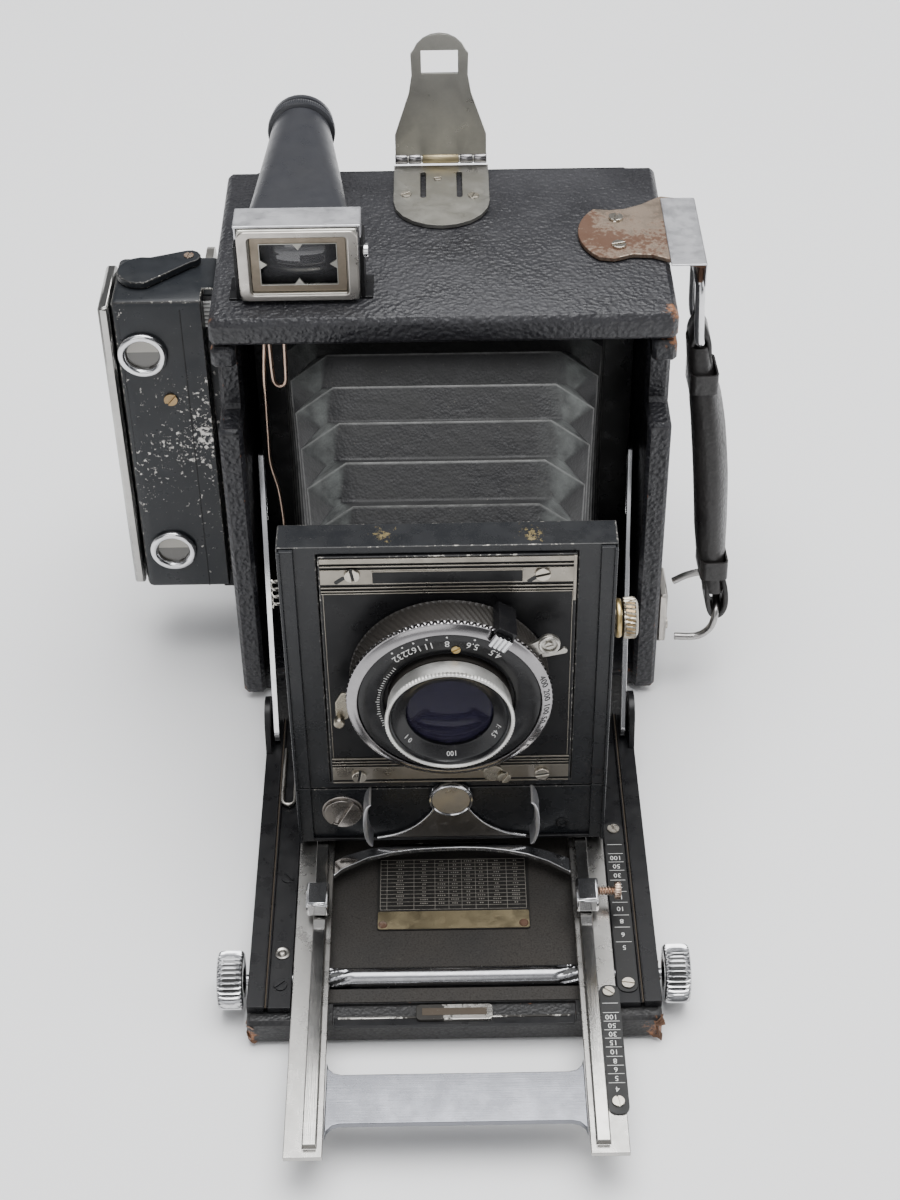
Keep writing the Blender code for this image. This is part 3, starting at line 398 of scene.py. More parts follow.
def frame_ring(outer, inner, low, high):
    """A flat frame between two outlines that have the same number of points."""
    n = len(outer)
    points = [(x, y, z) for line, z in ((outer, low), (outer, high), (inner, high), (inner, low)) for x, y in line]
    faces = []
    for row in range(4):
        after = (row + 1) % 4
        faces += [(row * n + i, row * n + (i + 1) % n, after * n + (i + 1) % n, after * n + i) for i in range(n)]
    return points, faces


def lathe(profile, steps=72, flutes=0, depth=0.0, fluted=(), lean=0.0, per=4):
    """(radius, height) points turned about +z. Flutes cut the rows in fluted, each row leaning past the last."""
    steps = flutes * per if flutes else steps
    rows = len(profile)
    points = []
    for k in range(steps):
        turn = 2 * math.pi * k / steps
        for i, (radius, height) in enumerate(profile):
            dip = depth * (0.5 - 0.5 * math.cos(flutes * turn + lean * i)) if i in fluted else 0.0
            points.append(((radius - dip) * math.cos(turn), (radius - dip) * math.sin(turn), height))
    faces = []
    for k in range(steps):
        after = (k + 1) % steps
        faces += [(k * rows + i, after * rows + i, after * rows + i + 1, k * rows + i + 1) for i in range(rows - 1)]
    return points, faces


def grid(rows, closed=False, caps=False):
    """Faces through rows of points of equal length. Each row is a closed loop."""
    n = len(rows[0])
    points = [p for row in rows for p in row]
    faces = []
    for r in range(len(rows) if closed else len(rows) - 1):
        s = (r + 1) % len(rows)
        faces += [(r * n + i, r * n + (i + 1) % n, s * n + (i + 1) % n, s * n + i) for i in range(n)]
    if caps:
        faces += [tuple(range(n)), tuple(range(len(points) - n, len(points)))]
    return points, faces


def smooth_path(points, per=8):
    """A smooth curve through the points."""
    ends = [Vector(p) for p in points]
    ends = [ends[0] * 2 - ends[1]] + ends + [ends[-1] * 2 - ends[-2]]
    found = []
    for a, b, c, d in zip(ends, ends[1:], ends[2:], ends[3:]):
        for k in range(per):
            t = k / per
            found.append(0.5 * (2 * b + (c - a) * t + (2 * a - 5 * b + 4 * c - d) * t * t
                                + (3 * b - a - 3 * c + d) * t ** 3))
    return found + [ends[-2]]


def sweep(path, section, first_side=(0, 1, 0), closed=False):
    """A section of (a, b) points carried along a path. a runs along the side, b away from it."""
    path = [Vector(p) for p in path]
    side = Vector(first_side)
    rows = []
    for i, here in enumerate(path):
        before = path[i - 1] if i or closed else here
        after = path[(i + 1) % len(path)] if i + 1 < len(path) or closed else here
        ahead = (after - before).normalized()
        side = (side - ahead * side.dot(ahead)).normalized()
        out = ahead.cross(side)
        rows.append([tuple(here + side * a + out * b) for a, b in section])
    return grid(rows, closed=closed, caps=not closed)


def tube(path, radius, sides=10, **settings):
    section = [(radius * math.cos(t), radius * math.sin(t)) for t in (2 * math.pi * k / sides for k in range(sides))]
    return sweep(path, section, **settings)


def lettering(text, height):
    """Figures as a thin solid in the xy plane, centred on the origin."""
    curve = bpy.data.curves.new("figures", "FONT")
    curve.body = text
    curve.size = height
    curve.extrude = 0.02
    curve.resolution_u = 2
    curve.align_x = "CENTER"
    curve.align_y = "CENTER"
    holder = bpy.data.objects.new("figures", curve)
    bpy.context.scene.collection.objects.link(holder)
    bpy.context.view_layer.update()
    mesh = bpy.data.meshes.new_from_object(holder.evaluated_get(bpy.context.evaluated_depsgraph_get()))
    shape = [tuple(v.co) for v in mesh.vertices], [tuple(p.vertices) for p in mesh.polygons]
    bpy.data.objects.remove(holder)
    bpy.data.meshes.remove(mesh)
    bpy.data.curves.remove(curve)
    return shape


class Piece:
    """One piece of the model, gathered from shapes in millimetres. Each shape takes one of its materials."""

    def __init__(self, name):
        self.name = name
        self.points = []
        self.faces = []
        self.finishes = []

    def add(self, shape, at=None, finish=0):
        points, faces = shape
        first = len(self.points)
        self.points += [tuple((at @ Vector(p) if at else Vector(p)) * MM) for p in points]
        self.faces += [tuple(first + i for i in face) for face in faces]
        self.finishes += [finish] * len(faces)
        return self

    def screw(self, at, toward, radius, turn=35.0, height=0.7, finish=0, slot=None):
        """A slotted screw head. The slot's floor can have its own finish."""
        matrix = facing(at, toward, turn)
        edge = math.degrees(math.asin(0.16))
        for start in (edge, 180 + edge):
            half = arc((0, 0), radius, start, start + 180 - 2 * edge, 10)
            self.add(prism(half, 0.0, height), matrix, finish)
        # A black floor finish paints the shade inside the slot.
        floor = finish if slot is None else slot
        return self.add(prism(arc((0, 0), radius * 0.96, 0, 345, 23), -0.2, height * 0.3), matrix, floor)

    def make(self, body, *looks, bevel=0.0, smooth=38.0, replaces=(), slot=None):
        mesh = bpy.data.meshes.new(self.name)
        mesh.from_pydata(self.points, [], self.faces)
        mesh.polygons.foreach_set("material_index", self.finishes)
        shape = bmesh.new()
        shape.from_mesh(mesh)
        bmesh.ops.remove_doubles(shape, verts=shape.verts, dist=0.0000005)
        bmesh.ops.recalc_face_normals(shape, faces=shape.faces)
        shape.to_mesh(mesh)
        shape.free()
        mesh.shade_smooth()
        if not bevel:
            mesh.set_sharp_from_angle(angle=math.radians(smooth))
        obj = bpy.data.objects.new(self.name, mesh)
        bpy.context.scene.collection.objects.link(obj)
        for look in looks:
            mesh.materials.append(look)
        if bevel:
            round_edges(obj, bevel)
        if replaces:
            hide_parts(*replaces)
        if body:
            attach(obj, body)
        return obj


def round_edges(obj, width, material=-1, segments=2):
    rounding = obj.modifiers.new("Bevel", "BEVEL")
    rounding.width = width * MM
    rounding.segments = segments
    rounding.limit_method = "ANGLE"
    rounding.angle_limit = math.radians(38)
    rounding.material = material
    rounding.harden_normals = True


def dress(nodes, look, edge=None, width=0.35, segments=2):
    """Gives CAD nodes a material, and softly rounded edges with an edge material of their own."""
    for name in nodes:
        obj = frame["nodes"][name]
        obj.data.materials.clear()
        obj.data.materials.append(look)
        if edge:
            obj.data.materials.append(edge)
        if "custom_normal" in obj.data.attributes:
            obj.data.attributes.remove(obj.data.attributes["custom_normal"])
        obj.data.shade_smooth()
        weld = obj.modifiers.new("Weld", "WELD")
        weld.merge_threshold = 0.00001
        flat = obj.modifiers.new("Flat", "DECIMATE")
        flat.decimate_type = "DISSOLVE"
        flat.angle_limit = math.radians(1.0)
        if width:
            round_edges(obj, width, 1 if edge else -1, segments)


# ---------------------------------------------------------------- case


def dress_case():
    dress(["case_top"], LEATHER, None, 1.8, 5)
    dress(["case_bottom", "case_left_wall", "case_right_wall"], LEATHER, LEATHER_EDGE, 0.8, 3)
    dress(["bed_panel"], BED_LEATHER, LEATHER_EDGE, 0.6, 3)
    dress(["focusing_hood", "hood_lid"], LEATHER, LEATHER_EDGE, 0.4)
    dress(["case_partition", "back_frame"], ENAMEL, ENAMEL_EDGE, 0.3)
    dress(["shutter_curtain"], CLOTH, None, 0)
    dress(["curtain_roller_top", "curtain_roller_bottom", "bed_hinge_pin"], NICKEL, None, 0.2)


# ---------------------------------------------------------------- bellows


BELLOWS_LOW, BELLOWS_HIGH = span("bellows")
FOLDS = 8
REST_LENGTH = BELLOWS_HIGH.y - BELLOWS_LOW.y
HALF_BACK, HALF_FRONT = BELLOWS_HIGH.x, BELLOWS_HIGH.x - 16.0
FLOOR_BACK, FLOOR_FRONT = BELLOWS_LOW.z, BELLOWS_LOW.z + 22.0
DROP = 10.5
CHAMFER = 11.3
PLEAT = 6.2


def spread(step):
    """Share of the sleeve's length at a half pleat. The pleats open wider towards the front."""
    return (step / (2 * FOLDS)) ** 1.18


def bellows_row(step, inset):
    """One section of the sleeve. step counts half pleats from the back, and whole odd steps are ridges."""
    share = spread(step)
    ridge = 1 - abs(1 - step % 2)
    y = BELLOWS_HIGH.y - REST_LENGTH * share
    into = PLEAT * (1 - ridge) + inset
    half = HALF_BACK + (HALF_FRONT - HALF_BACK) * share - into
    high = BELLOWS_HIGH.z - DROP * share * share - into
    low = FLOOR_BACK + (FLOOR_FRONT - FLOOR_BACK) * share + into
    wide = CHAMFER * (0.22 + 0.78 * ridge)
    tall = wide * 0.78
    corners = [(half - wide, high), (half, high - tall), (half, low + tall), (half - wide, low)]
    corners += [(-x, z) for x, z in reversed(corners)]
    row, corner = [], []
    cuts = (5, 11, 5, 11, 5, 11, 5, 11)
    for k, cut in enumerate(cuts):
        (x0, z0), (x1, z1) = corners[k], corners[(k + 1) % 8]
        for i in range(cut):
            t = i / cut
            sag = 0.55 * math.sin(math.pi * t) * (1 - ridge * 0.6) if k % 2 else 0.0
            lean = 1 - 2 * sag / max(half, 1)
            row.append(((x0 + (x1 - x0) * t) * lean, y, (z0 + (z1 - z0) * t)))
            corner.append(1.0 if k % 2 == 0 and 0 < i else 0.35 if k % 2 == 0 else 0.0)
    return row, corner, ridge


def build_bellows():
    """The sleeve in four pieces, one for each joint it spans, and each long enough for its joint's travel. The pieces
    are not attached to any body.
    """
    parts = (("back", 0, 4, "root", "bed"), ("middle", 4, 10.5, "bed", "rails"))
    parts += (("fore", 10.5, 15, "rails", "standard"), ("front", 15, 16, "standard", "lens_panel"))
    fine = 14
    for name, first, last, rear, fore in parts:
        outer, inner, folds, corners = [], [], [], []
        for k in range(round(first * fine), round(last * fine) + 1):
            row, corner, ridge = bellows_row(k / fine, 0.0)
            outer.append(row)
            inner.append(bellows_row(k / fine, 0.6)[0])
            folds += [max(0.0, ridge - 0.955) / 0.045] * len(row)
            corners += corner
        points, faces = grid(outer + inner[::-1], closed=True)
        piece = Piece("bellows_" + name).add((points, faces))
        obj = piece.make(None, BELLOWS, smooth=80, slot="bellows_leather")
        mark_points(obj, outer, {"fold": folds, "corner": corners})
        if first == 0:
            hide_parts("bellows")
        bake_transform(obj)


def mark_points(obj, rows, marks):
    """Stores a value per point under each name, for the material. Points are matched to the rows by place."""
    places = [tuple(round(c, 3) for c in point) for row in rows for point in row]
    for name, values in marks.items():
        where = dict(zip(places, values))
        layer = obj.data.attributes.new(name, "FLOAT", "POINT")
        found = [where.get(tuple(round(c / MM, 3) for c in vertex.co), 0.0) for vertex in obj.data.vertices]
        layer.data.foreach_set("value", found)


# ---------------------------------------------------------------- bed and rails


FACE = CASE_LOW.y
TRACK_TOP = BED_HIGH.z + 2.45
SHAFT = joint_at("focus_knob_turn")
RAIL_LOW = span("rail_right")[0]


def dress_bed():
    dress(["rail_left", "rail_right"], RAIL_METAL, None, 0.25)
    dress(["rail_crossbar"], BAR_METAL, None, 0.5)
    dress(["strut_left", "strut_right"], CHROME, None, 0.3)
    dress(["infinity_stop_left", "infinity_stop_right"], CHROME, None, 0.5, 3)


def build_tracks():
    """Enamelled side tracks over the shaft, each with a twin ridge and the ear that carries the strut."""
    for name, side in (("left", -1), ("right", 1)):
        node = "bed_track_" + name
        low, high = span(node)
        inner, outer = sorted((abs(low.x), abs(high.x)))
        piece = Piece(node + "_enamel")
        floor, arch = low.z + 0.05, SHAFT.z + 1.65
        for near, far, top in ((inner, inner + 6.3, TRACK_TOP), (inner + 7.4, outer, TRACK_TOP + 0.5)):
            notch = [(SHAFT.y - 2.0, floor), (SHAFT.y - 2.0, arch), (SHAFT.y + 2.0, arch), (SHAFT.y + 2.0, floor)]
            outline = [(low.y, floor)] + notch + [(high.y, floor), (high.y, top), (low.y, top)]
            piece.add(prism(outline, *sorted((side * near, side * far))), SIDEWAYS)
        for near, far, finish in ((6.2, 6.6, 1), (6.6, 7.1, 2), (7.1, 7.5, 1)):
            top = TRACK_TOP + (1.25 if finish == 1 else 0.5)
            xs = sorted((side * (inner + near), side * (inner + far)))
            piece.add(box((xs[0], low.y, arch), (xs[1], high.y, top)), finish=finish)
        foot = high.y - 16.0
        ear = [(foot, floor), (foot + 17.0, floor)] + arc((foot + 9.0, 20.0), 6.5, 10, 170, 14)
        piece.add(prism(ear, *sorted((side * (outer - 1.8), side * outer))), SIDEWAYS)
        piece.make("bed", ENAMEL, ENAMEL, GRIME, bevel=0.15, replaces=[node], slot="black_enamel")
        pin = joint_at("strut_" + name + "_turn")
        rivet = Piece("strut_pin_" + name).screw((side * outer, pin.y, pin.z), (side, 0, 0), 2.2, 30, 0.5)
        rivet.make("bed", NICKEL_SCREW, bevel=0.12, slot="nickel")


def build_catch():
    """The dark catch bar along the bed's front edge, with one bare line and a bare rim round its thumb tab."""
    low, high = span("bed_catch")
    catch = Piece("bed_catch_worn")
    catch.add(box(low, (high.x, low.y + 2.9, low.z + 1.05)))
    catch.add(box((low.x + 1.0, low.y + 2.3, low.z + 0.9), (high.x - 1.0, low.y + 3.0, low.z + 1.3)), finish=1)
    catch.add(prism(rounded((-10.5, low.y + 1.2), (10.5, high.y), 1.2), low.z + 0.5, high.z - 0.12), finish=1)
    catch.add(box((-8.9, low.y + 2.6, high.z - 0.4), (8.9, high.y - 1.3, high.z)), finish=2)
    catch.make("bed_catch", ENAMEL, CHIPPED_CHROME, GRIME, bevel=0.15, replaces=["bed_catch"], slot="chrome")


def build_bed_cover():
    """Thin leatherette on the bed between the tracks, and the frayed leather at its front corners."""
    cover = Piece("bed_cover")
    level = BED_HIGH.z
    for back, front in ((BED_HIGH.y - 2.0, SHAFT.y + 3.6), (SHAFT.y - 3.6, BED_LOW.y + 6.6)):
        cover.add(box((-44.4, front, level + 0.02), (44.4, back, level + 0.45)))
    cover.make("bed", FELT, bevel=0.2, slot="case_leather")
    dice = random.Random(4)
    fray = Piece("bed_fray")
    for side, count in ((1, 15), (-1, 6)):
        for k in range(count):
            deep = dice.uniform(0.0, 26.0 if side > 0 else 7.0)
            at = Vector((side * (BED_HIGH.x - dice.uniform(0, 1.0)), BED_LOW.y + deep, dice.uniform(1.5, level - 0.8)))
            if k % 3 == 0:
                across = side * (BED_HIGH.x - dice.uniform(0.5, 9.0))
                at = Vector((across, BED_LOW.y + 0.1, dice.uniform(1.5, level - 1)))
            size = dice.uniform(1.1, 2.6)
            flake = [(size * r * math.cos(t), size * r * math.sin(t)) for t, r in
                     ((2 * math.pi * i / 7, dice.uniform(0.45, 1.0)) for i in range(7))]
            lean = Matrix.Rotation(dice.uniform(-0.9, 0.9), 4, "X") @ Matrix.Rotation(dice.uniform(-0.9, 0.9), 4, "Y")
            toward = FRONT if k % 3 == 0 else (side, 0, 0)
            fray.add(prism(flake, -0.12, 0.12), facing(at, toward, dice.uniform(0, 360)) @ lean)
    fray.make("bed", FRAYED, smooth=30, slot="case_leather")


def build_data_plate():
    """A table of ruled rows and worn marks, with a brass band and two rivets at the front."""
    low, high = Vector((-21.8, FACE - 111.5)), Vector((22.2, FACE - 83.7))
    level = BED_HIGH.z + 0.45
    plate = Piece("data_plate")
    plate.add(prism(rounded(low, high, 0.9), level - 0.1, level + 0.4), finish=0)
    plate.add(prism(rounded((low.x + 0.3, low.y + 0.3), (high.x - 0.3, low.y + 6.8), 0.6), level + 0.3, level + 0.55),
              finish=1)
    top = level + 0.41
    rule = 0.13
    first, last = low.y + 7.6, high.y - 1.0
    rows = [first + (last - first) * k / 13 for k in range(14)]
    columns = [low.x + 0.9 + share * 42.2 for share in (0, 0.045, 0.23, 0.375, 0.47, 0.56, 0.655, 0.74, 0.87, 1.0)]
    for y in rows:
        plate.add(box((columns[0], y - rule / 2, top - 0.02), (columns[-1], y + rule / 2, top + 0.03)), finish=2)
    for x in columns:
        plate.add(box((x - rule / 2, rows[0], top - 0.02), (x + rule / 2, rows[-1], top + 0.03)), finish=2)
    dice = random.Random(9)
    for y, after in zip(rows[1:], rows[2:]):
        for x, right in zip(columns[1:], columns[2:]):
            middle, count = (x + right) / 2, dice.randint(2, 4)
            for k in range(count):
                at = middle + (k - count / 2) * 0.62
                plate.add(box((at, y + 0.6, top - 0.02), (at + 0.36, after - 0.5, top + 0.03)), finish=2)
    for x in (low.x + 1.7, high.x - 1.9):
        dome = [(0, 0.75), (0.9, 0.6), (1.3, 0.25), (1.35, 0.0), (0, 0)]
        plate.add(lathe(dome, 20), Matrix.Translation((x, low.y + 1.9, level + 0.5)), finish=3)
    plate.make("bed", PLATE_BLACK, PLATE_BRASS, PLATE_SILVER, RUSTY, smooth=30, slot="nickel")


def build_track_details():
    """Screws on the left track, its wire loop, and the engraved distance plate on the right track."""
    screws = Piece("track_screws")
    screws.screw((-47.9, FACE - 92.5, TRACK_TOP - 0.1), UP, 1.9, 130, 0.5)
    screws.screw((-48.1, FACE - 132.2, TRACK_TOP - 0.1), UP, 1.9, 40, 0.5)
    screws.make("bed", ENAMEL, bevel=0.12, slot="black_enamel")
    rivet = Piece("track_rivet")
    ring = [(1.1, 0.0), (2.1, 0.0), (2.1, 0.35), (1.7, 0.6), (1.2, 0.35), (1.1, 0.0)]
    dome = [(0, 0.55), (0.6, 0.45), (0.9, 0.1), (0, 0.0)]
    for shape in (ring, dome):
        rivet.add(lathe(shape, 28), Matrix.Translation((-48.1, FACE - 120.9, TRACK_TOP)))
    rivet.make("bed", NICKEL, slot="nickel")
    loop = [(-50.9, FACE - 40.0), (-50.9, FACE - 62.0)] + arc((-49.1, FACE - 62.0), 1.8, 180, 360, 6)[1:]
    loop += [(-47.3, FACE - 40.0)]
    wire = Piece("track_wire").add(tube([(x, y, TRACK_TOP + 1.1) for x, y in loop], 0.55, 8, first_side=(1, 0, 0)))
    wire.make("bed", NICKEL, smooth=60, slot="nickel")
    level = TRACK_TOP
    scale = Piece("track_scale")
    scale.add(prism(rounded((45.3, FACE - 136.6), (50.9, FACE - 72.6), 2.4), level - 0.1, level + 0.35))
    marks = (81.6, 85.2, 88.5, 91.8, 95.6, 100.0, 104.1, 108.9, 113.4, 118.8)
    names = ("", "100", "50", "30", "25", "15", "10", "8", "6", "5")
    add_marks(scale, marks, names, 45.9, 50.3, level + 0.36)
    for x, y, turn in ((48.2, 75.4, 120), (48.2, 133.7, 170)):
        scale.screw((x, FACE - y, level + 0.35), UP, 1.75, turn, 0.5, finish=2)
    scale.make("bed", SCALE_BLACK, WHITE_INK, NICKEL_SCREW, bevel=0.06, slot="black_enamel")
    level = RAIL_LOW.z + 1.65
    scale = Piece("rail_scale")
    scale.add(prism(rounded((39.7, FACE - 179.0), (45.2, FACE - 136.6), 2.2), level - 0.05, level + 0.4))
    marks = (142.9, 146.1, 149.0, 151.9, 154.7, 157.6, 160.7, 163.6, 166.3, 169.2)
    add_marks(scale, marks, ("", "100", "50", "30", "15", "10", "8", "6", "5", "4"), 40.3, 44.6, level + 0.41)
    for x, y, turn in ((42.3, 139.0, 140), (42.4, 175.2, 100)):
        scale.screw((x, FACE - y, level + 0.4), UP, 1.6, turn, 0.5, finish=2)
    scale.make("rails", SCALE_BLACK, WHITE_INK, NICKEL_SCREW, bevel=0.06, slot="black_enamel")


def add_marks(piece, marks, names, left, right, level):
    """Ruled lines across a distance plate with a figure after each, read from behind the camera."""
    for mark, after, name in zip(marks, list(marks[1:]) + [marks[-1] + 4.0], names):
        piece.add(box((left, FACE - mark - 0.07, level - 0.03), (right, FACE - mark + 0.07, level + 0.02)), finish=1)
        if name:
            at = ((left + right) / 2, FACE - (mark + after) / 2, level - 0.01)
            piece.add(lettering(name, 2.3), Matrix.Translation(at) @ Matrix.Rotation(math.pi, 4, "Z"), finish=1)


def build_rail_details():
    """The curved bar that ties the rails together, and the knurled screw of the right stop."""
    inner = RAIL_LOW.x - 0.1
    fore = [(-inner, 95.4), (-32.0, 92.9), (-24.5, 88.6), (-17.5, 86.6), (-11.1, 85.6), (-3.0, 85.1), (3.0, 85.0),
            (9.5, 85.3), (15.7, 86.3), (22.0, 88.0), (28.1, 91.0), (inner, 95.4)]
    rear = [(x, y - 2.6 - 3.0 * (abs(x) / inner) ** 3) for x, y in fore]
    outline = [(x, FACE - y) for x, y in fore + rear[::-1]]
    bar = Piece("rail_arch").add(prism(outline, RAIL_LOW.z + 1.0, RAIL_LOW.z + 2.6))
    bar.make("rails", CHROME, bevel=0.3, slot="aluminium")
    low, high = span("infinity_stop_right")
    at = (high.x, (low.y + high.y) / 2 + 1.0, (low.z + high.z) / 2 + 0.4)
    lock = Piece("stop_screw")
    thread = [(0, -0.4)] + [(1.35 if k % 2 else 1.0, k * 0.42) for k in range(1, 12)] + [(0, 5.0)]
    lock.add(lathe(thread, 20), facing(at, RIGHT))
    head = [(0, 4.6), (2.2, 4.6), (2.5, 4.9), (2.5, 6.1), (2.2, 6.4), (0.6, 6.4), (0, 6.1)]
    lock.add(lathe(head, flutes=22, depth=0.25, fluted=(2, 3)), facing(at, RIGHT))
    lock.make("stop_right", COPPER, smooth=50, slot="chrome")


def build_focus_drive():
    """Satin pinion shaft with cut teeth running out near its ends, and two fluted knobs. Black sleeves under the teeth
    and flutes paint the shade in their grooves.
    """
    low, high = span("focus_shaft")
    wide = (high.z - low.z) / 2
    stations = [(-57.8, 1.6), (-36.6, 1.6), (-36.5, 2.2), (-35.6, 2.2), (-35.5, wide)]
    stations += [(-35.4 + 0.4 * k, wide) for k in range(1, 22)] + [(-26.0, wide), (0.0, wide)]
    stations += [(-x, r) for x, r in stations[-2::-1]]
    rows = []
    for x, radius in stations:
        reach = min(1.0, max(0.0, (abs(x) - 28.0) / 4.5)) if radius == wide else 0.0
        row = []
        for k in range(60):
            turn = 2 * math.pi * k / 60
            wave = math.cos(7 * (turn + x * 0.11))
            cut = 0.9 * reach * max(0.0, wave) ** 0.5
            row.append((x, (radius - cut) * math.cos(turn), (radius - cut) * math.sin(turn)))
        rows.append(row)
    shaft = Piece("focus_shaft_cut").add(grid(rows, caps=True), Matrix.Translation(SHAFT))
    for side in (-1, 1):
        # A black sleeve under the cut teeth: painted shade in the grooves.
        groove_shade_liner = [(0, 27.5), (wide - 0.42, 27.6), (wide - 0.42, 35.3), (0, 35.4)]
        shaft.add(lathe(groove_shade_liner, 40), facing(SHAFT, (side, 0, 0)), finish=1)
    shaft.make("focus_drive", SHAFT_METAL, BLACK_PRINT_AND_SHADE, smooth=42, replaces=["focus_shaft"], slot="chrome")
    low, high = span("focus_knob_right")
    wide, deep = (high.z - low.z) / 2, high.x - low.x
    rim = [(0, 0.9), (3.1, 0.9), (3.6, 0.1), (wide - 0.7, 0.1), (wide - 0.35, 0.3), (wide, 0.9), (wide, 2.6),
           (wide, deep - 2.4), (wide, deep - 1.0), (wide - 0.4, deep - 0.3), (wide - 0.8, deep - 0.05),
           (wide - 1.6, deep - 0.02), (wide - 2.0, deep - 0.6), (2.6, deep - 0.6), (2.2, deep - 0.1), (0, deep)]
    for name, side in (("left", -1), ("right", 1)):
        knob = Piece("focus_knob_" + name + "_milled")
        shape = lathe(rim, flutes=32, depth=1.25, fluted=(5, 6, 7, 8), per=6)
        knob.add(shape, facing((side * low.x, SHAFT.y, SHAFT.z), (side, 0, 0)))
        # A black sleeve under the flutes: painted shade in the knob's grooves.
        groove_shade_liner = [(wide - 1.6, 1.2), (wide - 0.72, 1.6), (wide - 0.72, deep - 1.7), (wide - 1.6, deep - 1.3)]
        knob.add(lathe(groove_shade_liner, 64), facing((side * low.x, SHAFT.y, SHAFT.z), (side, 0, 0)), finish=1)
        knob.make("focus_drive", KNOB_CHROME, BLACK_PRINT_AND_SHADE, smooth=60, replaces=["focus_knob_" + name], slot="chrome")


# ---------------------------------------------------------------- standard


def dress_standard():
    dress(["standard_base", "lens_panel"], STANDARD_ENAMEL, ENAMEL_EDGE, 0.4, 3)
    dress(["lens_board"], ENAMEL, ENAMEL_EDGE, 0.3)


def build_board_trim():
    """Ruled metal strips across the lens board, their screws, and fine lines down its sides."""
    front = BOARD_LOW.y
    half = BOARD_HIGH.x - 0.5
    top, low = BOARD_HIGH.z - 0.5, BOARD_LOW.z + 0.5
    trim = Piece("board_trim")
    rows = ((0, 1.5), (2.3, 2.7), (3.6, 8.5), (9.5, 9.9), (10.7, 11.1), (11.6, 11.9))
    for start, end in rows:
        trim.add(box((-half, front - 0.45, top - end), (half, front - 0.02, top - start)))
    for start, end in ((0, 0.5), (1.3, 1.6), (2.4, 2.7), (3.5, 8.4), (9.3, 9.8)):
        trim.add(box((-half, front - 0.45, low + 9.8 - end), (half, front - 0.02, low + 9.8 - start)))
    for side in (-1, 1):
        x = side * (half - 0.5)
        trim.add(box((x - 0.11, front - 0.2, low + 9.8), (x + 0.11, front - 0.02, top - 11.9)))
    trim.add(box((half - 0.4, front - 0.55, top - 15.0), (half + 0.4, front - 0.02, top + 0.3)))
    trim.make("lens_panel", TRIM_NICKEL, bevel=0.08, slot="nickel")
    panel = Piece("board_name_panel")
    rim = frame_ring(rounded((-20.0, 4.0), (20.0, 8.4), 0.3, 1), rounded((-19.7, 4.3), (19.7, 8.1), 0.2, 1), 0.4, 0.62)
    panel.add(rim, facing((0, front, top - 12.4), FRONT))
    panel.add(box((-19.8, front - 0.56, top - 8.4), (19.8, front - 0.42, top - 4.0)), finish=1)
    panel.make("lens_panel", TRIM_NICKEL, ENAMEL, bevel=0.05, slot="black_enamel")
    screws = Piece("board_screws")
    for x, z, turn in ((-25, top - 5.2, 100), (25, top - 5.6, 15), (-26, low + 3.0, 80), (26, low + 3.2, 10)):
        screws.screw((x, front - 0.45, z), FRONT, 2.1, turn, 0.9, slot=1)
    screws.make("lens_panel", NICKEL_SCREW, BLACK_PRINT_AND_SHADE, bevel=0.25, slot="nickel")
    # Flat black oblongs on the panel: painted shade for two screw slots.
    slots = Piece("board_screw_slots")
    for x, z in ((-28.4, top - 7.0), (22.4, top - 7.4)):
        matrix = facing((x, front - 0.44, z), FRONT, 38)
        slots.add(prism(rounded((-1.7, -0.6), (1.7, 0.6), 0.55), 0.0, 0.06), matrix)
    slots.make("lens_panel", BLACK_PRINT_AND_SHADE, slot="black_enamel")


AXIS = joint_at("speed_select")
DRUM_BACK, RING_BACK, RING_FRONT = span("shutter_drum")[1].y, span("speed_ring")[1].y, span("speed_ring")[0].y
BARREL_BACK, BARREL_FRONT = span("lens_barrel")[1].y, span("lens_barrel")[0].y
RING_R = span("speed_ring")[1].x
BARREL_R = span("lens_barrel")[1].x


def on_axis(y, turn=0.0):
    """A matrix on the lens axis at this y, with +z forward, x to the right and y up."""
    return facing((AXIS.x, y, AXIS.z), FRONT, turn)


def round_the_lens(radius, degrees, y, spin=0.0):
    """A place round the lens axis, degrees from straight up towards the right, facing forward."""
    turn = math.radians(degrees)
    at = (AXIS.x + radius * math.sin(turn), y, AXIS.z + radius * math.cos(turn))
    return facing(at, FRONT, -degrees + spin)


